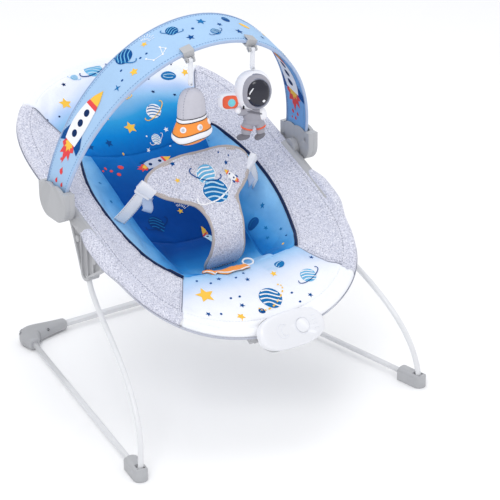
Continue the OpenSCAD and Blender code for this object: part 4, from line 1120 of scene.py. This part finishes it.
def pad_grid(layer, s, k):
    s, k = PAD_LEN * k, 2 * s - 1
    d = min((1 - abs(k)) * pad_half(s), s, PAD_LEN - s) / PAD_THICK
    p, n = pad_front(s, k * pad_half(s))
    return p + n * (1.4 * dome(d)) if layer == 0 else p - n * (2.0 + (PAD_THICK - 2.6) * dome(d)), d <= 0


verts, faces, pinned = padded_grid(26, 56, pad_grid)
pad = make("harness_pad", verts, faces, "melange", "grey_melange", None)
pad_tree = surface_tree([padded(pad, pinned, 2.5, "crotch_pad")])


def pad_hit(s, x, off):
    """Point off mm in front of the pad's stuffed surface, and the normal there."""
    p, n = pad_front(s, x, 40)
    hit = cast(pad_tree, p, n)
    return (hit[0] + n * off, n) if hit else pad_front(s, x, 1.0 + off)


def pad_outline(inset):
    """The pad's outline inset by some mm, as a closed list of (s, x)."""
    loop = [(max(inset, min(PAD_LEN - inset, s)), pad_half(s) - inset) for s in np.linspace(0, PAD_LEN, 61)]
    top = [(PAD_LEN - inset, x) for x in np.linspace(loop[-1][1], -loop[-1][1], 14)[1:-1]]
    bottom = [(inset, x) for x in np.linspace(-loop[0][1], loop[0][1], 14)[1:-1]]
    return loop + top + [(s, -x) for s, x in reversed(loop)] + bottom + loop[:1]


def unzip(pairs):
    return [a for a, _ in pairs], [b for _, b in pairs]


ribbon("harness_binding", *unzip([pad_front(s, x, -1.0) for s, x in pad_outline(1.8)]), 7.0, 3.8, "pad_binding",
       "grey_melange")
stitches("stitch_harness", *unzip([pad_hit(s, x, 0.9) for s, x in pad_outline(4.6)]), "webbing", "grey_melange",
         length=2.6, r=0.32)

PAD_PRINTS = [
    (131, 2, dot("white", 20.5) + planet(19.5, "blue", "white", 0.35, "pale")),
    (160, -4, dot("white", 15.5, 0.85) + planet(14, "sky", "deep", -0.4)), (147, 36, rocket(30, 2.2, "white", 2)),
    *((s, x, star(c, r, 0.45, x))
      for s, x, c, r in ((182, -46, "deep", 4.4), (167, 34, "deep", 4.2), (158, -46, "yellow", 4.0),
                         (184, 26, "deep", 2.4))),
    (175, 44, dot("deep", 1.7)),
]
for s0, x0, drawing in PAD_PRINTS:
    stamp("pad", drawing, lambda x, y, h: pad_hit(s0 + y, x0 + x, h)[0], 0.3)
flush_prints("pad", "seat", "grey_melange")

# orange tab and white loop at the pad's lower end
p, n = along([(-60, -133), (-44, -141), (-26, -146), (-8, -148), (6, -147)], 1.2, step=3)
wid = [mix(5, 17, sm(i / (0.6 * len(p)))) for i in range(len(p))]
ribbon("crotch_tab", [q + m * (0.8 + 0.8 * sin(i * 0.5)) for i, (q, m) in enumerate(zip(p, n))], n, wid, 1.4,
       ink("orange"), "orange_plush", crown=1.2, cols=12)
tube("crotch_tab_edge", [q + Vector((0, -w / 2 + 0.8, 0)) + m * 2.0 for q, m, w in zip(p, n, wid)], 1.0, "webbing",
     "webbing")
LOOP_X, LOOP_Y = 14, -138
loop_z = cover_z(LOOP_X, LOOP_Y) + 4.0
tube("crotch_loop", [Vector((LOOP_X + 8 * cos(a), LOOP_Y + 6.5 * sin(a), loop_z + 2 * sin(a))) for a in turns(30)], 1.4,
     "webbing", "webbing", closed=True)

# waist straps: webbing from the slit in the side wall to the buckle, and a loose tail below the adjuster
STRAP_LOW, STRAP_HIGH = Vector((116, -4, 264)), Vector((93.3, -28.6, 305.7))
STRAP_FACE = Vector((0.5, -0.8, -0.2))
for tag, side in reversed(SIDES):
    def flip(v):
        return Vector((side * v.x, v.y, v.z))

    run = STRAP_HIGH - STRAP_LOW
    face, edge = flip(STRAP_FACE), flip(run.cross(STRAP_FACE).normalized())
    path = [flip(STRAP_LOW - run * 0.04 + run * 1.08 * t + sin(pi * t) * Vector((1.4, -1.2, -1.6)))
            for t in np.linspace(0, 1, 15)]
    o = ribbon("waist_webbing_" + tag, path, [face] * 15, 18, 1.5, "webbing", "webbing", crown=0.15)
    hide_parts("waist_strap_" + tag)
    for at_edge, k in (("m", -1), ("p", 1)):
        for layer, out in (("a", -1), ("b", 1)):
            line = [p + edge * (7.6 * k) + face.normalized() * (0.95 * out) for p in path]
            stitches(f"stitch_webbing_{tag}_{layer}{at_edge}", line, [face * out] * 15, "thread_grey", "webbing",
                     length=2.2, r=0.25)
    tail = [flip(STRAP_HIGH + Vector((-9 + 2 * t, -6 + 3 * sin(2.6 * t), -2 - 9 * t))) for t in np.linspace(0, 2.4, 10)]
    ribbon("strap_tail_" + tag, tail, [flip(Vector((0.35, -0.9, -0.1)))] * 10, 15, 1.2, "bar_edge", "webbing",
           crown=0.2, cols=6)

# ---- vibration unit's cap

TILT = radians(55)
TUBE = Vector((0, -250, 298 - 120.5 - 13.5))
CAP_X, CAP_Y, CAP_E = 53, 26, 2.55          # half sizes of the oval and its exponent
OVAL_POINTS = 72
BUTTON_X, BUTTON_R = 14, 10.35
# share of the oval and height, over the dome
DOME = ((0.985, 18.6), (0.955, 20.2), (0.9, 21.5), (0.81, 22.4), (0.66, 22.9), (0.45, 23.15), (0.2, 23.25))


def cap(p):
    """From the unit's own frame to the seat frame."""
    y = p[1] - 7
    return Vector((p[0], TUBE.y + y * cos(TILT) - p[2] * sin(TILT), TUBE.z + y * sin(TILT) + p[2] * cos(TILT)))


def oval_ring(s, z, inset=0.0):
    return [cap((spow(cos(a), 2 / CAP_E) * (CAP_X * s - inset), spow(sin(a), 2 / CAP_E) * (CAP_Y * s - inset), z))
            for a in turns(OVAL_POINTS)]


wall = ((9.0, 0.9), (9.3, 0.35), (12.2, 0), (12.5, 0.55), (13.1, 0.55), (13.4, 0), (16.6, 0.2))
outer, faces = loft([oval_ring(1, z, i) for z, i in wall] + [oval_ring(s, z) for s, z in DOME], first=False)
hollow = ((0.2, 21.2), (0.66, 20.9), (0.88, 19.6), (0.93, 17.5), (0.94, 9.0))
inner, more = loft([oval_ring(s, z) for s, z in hollow], last=False, base=len(outer))
lip = len(outer) + len(inner) - OVAL_POINTS
faces += more + [(lip + k, k, (k + 1) % OVAL_POINTS, lip + (k + 1) % OVAL_POINTS) for k in range(OVAL_POINTS)]
cap_obj = make("vibration_cap", outer + inner, faces, "white", "white_plastic", None)
hole = [[cap((BUTTON_X + BUTTON_R * cos(a), BUTTON_R * sin(a), z)) for a in turns(40)] for z in (15, 30)]
cutter = make("cutter", *loft(hole), "white", body=None)
modifier(cap_obj, "BOOLEAN", object=cutter, operation="DIFFERENCE", solver="EXACT")
cut = bpy.data.meshes.new_from_object(cap_obj.evaluated_get(bpy.context.evaluated_depsgraph_get()))
cap_obj.modifiers.clear()
cap_obj.data = cut
bpy.data.objects.remove(cutter)
modifier(cap_obj, "BEVEL", width=0.0004, segments=2, limit_method="ANGLE", angle_limit=radians(45))
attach(cap_obj, "seat")
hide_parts("vibe_cover")


def relief(name, points, r, lift=0.05, sides=8, closed=False):
    """A raised line on the cap's dome, through (x, y) of the unit's frame."""
    shares, heights = zip(*reversed(DOME))
    path = []
    for x, y in points:
        rho = (abs(x / CAP_X) ** CAP_E + abs(y / CAP_Y) ** CAP_E) ** (1 / CAP_E)
        path.append(cap((x, y, float(np.interp(rho, (0, *shares), (23.3, *heights))) + lift)))
    tube(name, path, r, "white_line", "white_plastic", sides=sides, closed=closed)


relief("cap_relief_moon", [(-18 + 9 * cos(a), 9.9 * sin(a)) for a in np.linspace(0.9, 5.4, 30)], 0.45, 0.1)
relief("cap_relief_moon_inner", [(-14 + 6.2 * cos(a), 7.4 * sin(a)) for a in np.linspace(1.15, 5.1, 26)], 0.4, 0.1)
relief("cap_button_collar", [(BUTTON_X + 11.6 * cos(a), 11.6 * sin(a)) for a in turns(48)], 0.5, closed=True)
for k in range(4):
    relief(f"cap_grip_{k}", [(32 + 7 * t, -9 + 6 * k + 1.5 * sin(3 * t)) for t in np.linspace(0, 1, 8)], 0.4, sides=6)

# ---- hanging toys

def toy_hook(x):
    """Where a toy hangs: just below and in front of the band's foot-side edge."""
    up = ARCH_H * sqrt(1 - (x / ARCH_A) ** 2)
    w = mix(W_END, W_TOP, up / ARCH_H) / 2
    edge = Vector((x, BASE[0] - up * sin(LEAN) - w * cos(LEAN), BASE[1] + up * cos(LEAN) - w * sin(LEAN)))
    return edge + Vector((0, -5, -9))


X, Y, Z = Vector((1, 0, 0)), Vector((0, 1, 0)), Vector((0, 0, 1))
SAUCER_X, SAUCER_STRAP = -43, 34
ASTRONAUT_X, ASTRONAUT_STRAP = 60, 27
for tag, x, length, body in (("left", SAUCER_X, SAUCER_STRAP, "saucer_strap"),
                             ("right", ASTRONAUT_X, ASTRONAUT_STRAP, "astronaut_strap")):
    h = toy_hook(x)
    path, normals = [], []
    for t in np.linspace(0, 1, 17):
        turn = -0.5 * sm(t * 1.5)
        path.append(h + Vector((0.5 * sin(5 * t), 0.4 * sin(3 * t), 1.6 - (length + 1.2) * t)))
        normals.append(Vector((sin(turn), -cos(turn), 0)))
    o = ribbon("toy_webbing_" + tag, path, normals, 6.6, 1.3, "webbing", "webbing", body, 0.1, 6)
    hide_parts("toy_strap_" + tag)
    for name, c, u, r, width in (("toy_loop_", h, Y, 2.6, 6.4), ("toy_loop_low_", h - Z * length, X, 2.4, 5.0)):
        ring = circle(c, u, Z, r, 20)
        ring.append(ring[0])
        ribbon(name + tag, ring, [p - c for p in ring], width, 1.0, "webbing", "webbing", body, 0, 4)

SAUCER_FLAT = 0.62      # depth of the saucer's brim over its width
# radius, height and how much the brim's wave moves it
SAUCER_PROFILE = [
    (2, -5.6, 0), (9, -7.2, 0), (14, -11, 0), (18.2, -17, 0), (20.4, -25, 0), (21.4, -34, 0), (21.8, -43, 0.1),
    (21.6, -45.6, 0.15), (22.6, -46.6, 0.2), (23.0, -49.4, 0.25), (22.6, -50.4, 0.3), (24.6, -55, 0.45),
    (27.4, -61, 0.7), (29.0, -65.4, 0.95), (30.6, -67.0, 1.0), (31.6, -70.4, 1.0), (30.4, -73.8, 1.0),
    (27.6, -75.6, 1.0), (24.0, -78.6, 0.8), (16, -82.6, 0.5), (8, -85.6, 0.2), (1.5, -86.8, 0)]
SAUCER_BANDS = [(7, "dome"), (10, "white_plush"), (13, "orange"), (17, "white_plush"), (21, "orange")]


def saucer(n=64):
    """Lathed plush with wavy colour bands, puckered along its seams."""
    hook = toy_hook(SAUCER_X) - Z * SAUCER_STRAP
    rings = []
    for r, z, wave in SAUCER_PROFILE:
        ring = []
        flat = SAUCER_FLAT if r > 24 else mix(0.8, SAUCER_FLAT, sm((r - 14) / 10))
        for a in turns(n):
            pucker = 1 + 0.012 * sin(9 * a) * sm((r - 8) / 12)
            dz = wave * (3.6 * cos(a - 0.7) + 1.5 * sin(3 * a))
            ring.append(hook + Vector((r * pucker * cos(a), r * pucker * flat * sin(a), z + dz)))
        rings.append(ring)

    def level(p):
        return Vector((p.x - hook.x, p.y - hook.y, 0)).normalized()

    start, out = 0, []
    for end, mat in SAUCER_BANDS:
        skin = loft(rings[start:end + 1], first=start == 0, last=end == len(rings) - 1)
        out.append(subdivide(make(f"saucer_{len(out)}_{mat}", *skin, mat, "orange_plush", "saucer")))
        start = end
    for j, (i, _) in enumerate(SAUCER_BANDS[:-1]):
        tube(f"saucer_seam_{j}", [p + level(p) * 0.25 for p in rings[i]], 0.55, "black_cord", "orange_plush", "saucer",
             6, True)
    # round portholes on the orange band, and dome seams
    for j, a in enumerate((-2.45, -1.45, -0.45, 0.7, 2.0)):
        c = hook + Vector((26.4 * cos(a), 26.4 * SAUCER_FLAT * sin(a), -58.0 + 1.8 * cos(a - 0.7)))
        nrm = Vector((cos(a), sin(a) / SAUCER_FLAT, 0.42)).normalized()
        for r, mat, lift in ((4.4, "white_plush", 0.5), (2.6, "dome", 1.1)):
            steps = [circle(c + nrm * (h + lift), *upright(nrm), r * k, 20)
                     for k, h in ((0.5, 1.0), (0.85, 0.6), (1.0, 0.0), (0.98, -1.4))]
            make(f"saucer_port_{j}_{mat}", *fan(c + nrm * (lift + 1.1), steps), mat, "orange_plush", "saucer")
    for j, a in enumerate((-2.6, -0.55, 0.6, 2.4)):
        line = [rings[i][int(a / (2 * pi) * n) % n] for i in range(8)]
        stitches(f"saucer_dome_stitch_{j}", line, [level(q) for q in line], "thread_grey", "orange_plush", "saucer",
                 2.4, 0.35)
    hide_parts("saucer_toy")


saucer()

YAW = radians(-24)
A_HOOK = toy_hook(ASTRONAUT_X) - Z * ASTRONAUT_STRAP
# material, centre, half sizes, exponent and tilt of the figure's stuffed lobes
LOBES = [
    ("white_plush", (0, 0, -33), (26, 14, 29.5), 2.35, 0),
    ("grey_plush", (3, -7.0, -33), (21.5, 9.6, 26), 2.3, 0),
    ("visor", (5, -11.5, -33), (16.6, 8.2, 20.6), 2.2, 0),
    ("grey_plush", (0, 0, -69), (15, 9, 13), 2.3, 0),
    ("white_plush", (12.5, -2, -68), (6.5, 6.5, 10), 2.2, 0.25),
    ("grey_plush", (-13, -4, -62), (11, 5.5, 5.5), 2.2, 0.35),
    ("white_plush", (-22.5, -5, -60), (5, 4.6, 4.8), 2.1, 0),
    ("grey_plush", (0, -0.5, -79), (14.5, 8.5, 6.5), 2.4, 0),
    ("grey_plush", (-8.5, -0.5, -86), (8.6, 7.4, 7.5), 2.3, 0.25),
    ("grey_plush", (9.5, -0.5, -85), (7.2, 7.0, 7.0), 2.3, -0.15),
    ("orange_red", (-9.5, -1, -88.5), (8.9, 7.9, 1.7), 3.0, -0.32),
    ("orange_red", (10.5, -1, -88), (7.4, 7.5, 1.6), 3.0, 0.35),
    ("grey_plush", (-10.5, -1.5, -93.5), (7.0, 6.8, 6.8), 2.3, 0.3),
    ("grey_plush", (10.0, -1.5, -93.5), (6.0, 6.2, 7.0), 2.3, -0.25),
    ("dark_plush", (-15, -3.5, -100.5), (9.8, 7.0, 4.2), 2.3, 0.15),
    ("dark_plush", (8.6, -3.5, -101.0), (8.4, 6.6, 4.2), 2.3, 0.5),
    ("white_plush", (-34, 1, -47), (16.5, 7, 13), 2.8, 0),
    ("orange_red", (-33, -3.0, -47), (11.5, 5, 10), 3.2, 0),
    ("aqua", (-31.5, -6.4, -47), (6.0, 3.4, 6.4), 2.0, 0),
    ("dark_plush", (0, -7.6, -63.5), (12.4, 2.6, 1.5), 2.6, -0.25),
]
VISOR, (VISOR_X, _, VISOR_Z), (VISOR_HALF_X, _, VISOR_HALF_Z), VISOR_E, _ = LOBES[2]


def turn_toy(p):
    return A_HOOK + Vector((p[0] * cos(YAW) - p[1] * sin(YAW), p[0] * sin(YAW) + p[1] * cos(YAW), p[2]))


def lobe(centre, size, e, tilt, n, m):
    """A stuffed superellipsoid, tilted in the toy's front plane."""
    rings = []
    for i in range(m + 1):
        b = -pi / 2 + pi * i / m
        ring = []
        for a in turns(n):
            x = spow(cos(b), 2 / e) * spow(cos(a), 2 / e) * size[0]
            y = spow(cos(b), 2 / e) * spow(sin(a), 2 / e) * size[1]
            z = spow(sin(b), 2 / e) * size[2]
            x, z = x * cos(tilt) - z * sin(tilt), x * sin(tilt) + z * cos(tilt)
            ring.append(turn_toy((centre[0] + x, centre[1] + y, centre[2] + z)))
        rings.append(ring)
    return rings


merged = {}
for mat, centre, size, e, tilt in LOBES:
    verts, faces = merged.setdefault(mat, ([], []))
    v, f = loft(lobe(centre, size, e, tilt, *((40, 24) if mat == VISOR else (28, 16))), first=False, last=False,
                base=len(verts))
    verts += v
    faces += f
for mat, (verts, faces) in merged.items():
    o = make(f"astronaut_{mat}", verts, faces, mat, "white_plush", "astronaut")
    modifier(o, "WELD", merge_threshold=0.00002)
    if mat == LOBES[0][0]:
        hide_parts("astronaut_toy")


def on_toy(name, points, r, mat, sides=10, closed=False):
    tube(name, [turn_toy(p) for p in points], r, mat, "white_plush", "astronaut", sides, closed)


def visor_at(x, z):
    """Point just in front of the visor."""
    k = 1 - (abs((x - VISOR_X) / VISOR_HALF_X) ** VISOR_E + abs((z - VISOR_Z) / VISOR_HALF_Z) ** VISOR_E)
    return (x, -11.5 - 8.2 * max(0.0, k) ** (1 / VISOR_E) - 0.35, z)


on_toy("astronaut_visor_rim", [(VISOR_X + 16.9 * cos(a), -13.2 + abs(cos(a)), VISOR_Z + 20.9 * sin(a))
                               for a in turns(44)], 0.9, "thread_grey", closed=True)
on_toy("astronaut_head_seam", [(3 + 21.6 * cos(a), -7.2, VISOR_Z + 26.2 * sin(a)) for a in turns(44)], 0.8,
       "thread_grey", closed=True)
on_toy("visor_shine", [visor_at(-7.5 + 0.4 * t + 2.6 * (1 - cos(t)), -33 + 4.2 * t) for t in np.linspace(0, 2.3, 12)],
       [0.5 + 0.5 * sin(pi * i / 11) for i in range(12)], ink("white"), 8)
for j, (x, z, r) in enumerate(((-8.6, -38.5, 1.9), (12.5, -43.5, 2.1))):
    rings = [[turn_toy(visor_at(x + r * k * cos(a), z + r * k * sin(a))) for a in turns(16)] for k in (0.35, 0.7, 1.0)]
    make(f"visor_dot_{j}", *fan(turn_toy(visor_at(x, z)), rings), ink("white"), "white_plush", "astronaut")
on_toy("astronaut_hose", [(-18 + 3.6 * sin(t * 2.2), -9.5 + 1.5 * t, -36 - 21 * t) for t in np.linspace(0, 1, 16)],
       1.25, "black_cord")

# ---- rear elbows

REAR, FOOT = Vector((167.0, 207.0)), Vector((235.5, -233.0))
ELBOW_STEPS, ELBOW_SIDES, ROD_Z, WELL_R = 48, 28, 10, 2.5


def elbow(tag, side):
    """Smooth moulded elbow: broad and flat-topped in the corner, slimmer on both rods."""
    corner = REAR + Vector((2, 1))
    rail = (FOOT - REAR).normalized()
    start, end = REAR + rail * 38, REAR + Vector((-68, 0))
    p, r = corner + rail * 15, corner + Vector((-16, 0))
    pts = []
    for i in range(ELBOW_STEPS + 1):
        t = i / ELBOW_STEPS
        if t < 0.3:
            pts.append(start.lerp(p, t / 0.3))
        elif t > 0.55:
            pts.append(r.lerp(end, (t - 0.55) / 0.45))
        else:
            k = (t - 0.3) / 0.25
            pts.append(p.lerp(corner, k).lerp(corner.lerp(r, k), k))
    rings = []
    for i, c in enumerate(pts):
        t = i / ELBOW_STEPS
        d = (pts[min(ELBOW_STEPS, i + 1)] - pts[max(0, i - 1)]).normalized()
        out = Vector((-d.y, d.x))
        if out.x + out.y < 0:
            out = -out
        mid = sm(t / 0.4) * sm((1 - t) / 0.62)
        close = dome(min(t, 1 - t) * ELBOW_STEPS / 1.5) * 0.25 + 0.75
        w = mix(9.0 if t < 0.4 else 8.4, 15.0, mid) * close
        h = mix(9.4 if t < 0.4 else 8.6, 11.2, mid) * close
        ring = []
        for a in turns(ELBOW_SIDES):
            u, v = spow(cos(a), 0.72) * w, spow(sin(a), 0.72) * h
            q = c + out * (u - 7.0 * mid if u < 0 else u * (1 - 0.12 * mid))
            ring.append(Vector((side * q.x, q.y, max(0.2, ROD_Z + v - (1.2 * mid if v < 0 else 0)))))
        rings.append(ring)
    o = subdivide(make("rear_elbow_" + tag, *loft(rings), "grey", "grey_plastic", "base"))
    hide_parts("rear_connector_" + tag)
    tree = surface_tree([o])
    # three round holes on each elbow, not cut: a darker raised ring round a near-black disc of painted shade just under
    # the surface
    for j, (x, y, nx, ny, z) in enumerate(((166, 204, 1, -0.1, 14), (164, 203, 0.8, 0.6, 14), (137, 207, 0, -1, 12))):
        nrm = Vector((side * nx, ny, 0.25)).normalized()
        hit = cast(tree, Vector((side * x, y, z)) + nrm * 60, nrm)
        if hit:
            c, nrm = hit[0] + hit[1] * 0.25, hit[1]
            uw = upright(nrm)
            well = circle(c, *uw, WELL_R, 24)
            tube(f"elbow_well_{tag}_{j}", well, 0.5, "grey_dark", "grey_plastic", "base", closed=True)
            rings = [circle(c - nrm * (0.3 - 0.1 * q), *uw, WELL_R * q, 24) for q in (0.5, 0.96)]
            make(f"elbow_recess_{tag}_{j}", *fan(c - nrm * 0.3, rings), "recess", "grey_plastic", "base")


for tag, side in reversed(SIDES):
    elbow(tag, side)

# ---- carried-over CAD nodes

SLOT_MATS = {
    "white_steel": "steel_white", "grey_plastic": "grey", "white_plastic": "white", "steel": "zinc",
    "spring_steel": "spring", "strip_plastic": "strip", "battery_wrap": "cell", "board_green": "board",
    "weight_metal": "sintered",
    "grey_melange": "melange", "printed_white": "lining", "printed_blue": "print", "light_blue": "gusset",
    "sleeve_blue": "bar_out", "webbing": "webbing", "orange_plush": "orange", "white_plush": "white_plush",
}
ROUND_RODS = ("leg_", "seat_rim", "base_rail", "rear_crossbar")
SMALL_PARTS = ("battery_door_screw", "battery_contacts", "toy_clips", "buckle_tongue")
slots = {p["node"]: p.get("material_slot") for p in frame["record"]["subparts"]}
for name, o in frame["nodes"].items():
    if o.hide_render:
        continue
    o.data.materials.clear()
    o.data.materials.append(M[SLOT_MATS[slots[name]]])
    o.data.polygons.foreach_set("use_smooth", [True] * len(o.data.polygons))
    modifier(o, "WELD", merge_threshold=0.00001)
    if not name.startswith(ROUND_RODS):
        small = name.endswith("screws") or name.startswith(SMALL_PARTS)
        modifier(o, "BEVEL", width=0.00025 if small else 0.0006, segments=2, limit_method="ANGLE",
                 angle_limit=radians(32), harden_normals=True, use_clamp_overlap=True)

# ---- floor, light, camera

floor_mat = Mat("studio_floor", 0.8)
floor_mat.set(Base_Color=floor_mat.mixc(lin("#FFFFFF"), lin("#FCFCFD"), floor_mat.noise(4, 2.0)),
              Specular_IOR_Level=0.1)
M["floor"] = floor_mat.m
FLOOR, FLOOR_Z = 6000, -0.4
corners = [(x * FLOOR, y * FLOOR - SHIFT, FLOOR_Z) for x, y in ((-1, -1), (1, -1), (1, 1), (-1, 1))]
make("floor", corners, [(0, 1, 2, 3)], "floor", body=None)

scene = bpy.context.scene
world = bpy.data.worlds.new("studio")
world.use_nodes = True
world.node_tree.nodes["Background"].inputs["Color"].default_value = (0.97, 0.98, 1.0, 1)
world.node_tree.nodes["Background"].inputs["Strength"].default_value = 0.82
scene.world = world

# name, place, height of the point it is aimed at, size and power
LIGHTS = [("key", (-1.6, -1.5, 2.4), 0.25, 1.4, 23), ("fill", (2.0, -1.6, 1.6), 0.25, 1.8, 6),
          ("top", (0.2, 0.6, 2.6), 0.2, 2.0, 15)]
for name, place, aim, size, power in LIGHTS:
    lamp = bpy.data.lights.new(name, "AREA")
    lamp.shape = "DISK"
    lamp.size = size
    lamp.energy = power
    o = bpy.data.objects.new(name, lamp)
    o.location = place
    o.rotation_euler = (Vector((0, 0, aim)) - Vector(place)).to_track_quat("-Z", "Y").to_euler()
    scene.collection.objects.link(o)

# the camera's right, up and backward directions and its place
CAM_X, CAM_Y, CAM_Z = (0.833209, -0.552876, -0.00958), (0.23638, 0.340466, 0.910059), (-0.499888, -0.760534, 0.414368)
CAM_AT = (-1.4963, -2.4266, 1.4886)
lens = bpy.data.cameras.new("camera")
lens.lens = 154.36
lens.sensor_width = 36
lens.clip_start = 0.05
lens.clip_end = 30
cam = bpy.data.objects.new("camera", lens)
cam.matrix_world = Matrix((*zip(CAM_X, CAM_Y, CAM_Z, CAM_AT), (0, 0, 0, 1)))
scene.collection.objects.link(cam)
scene.camera = cam
scene.view_settings.view_transform = "Standard"
scene.view_settings.look = "None"
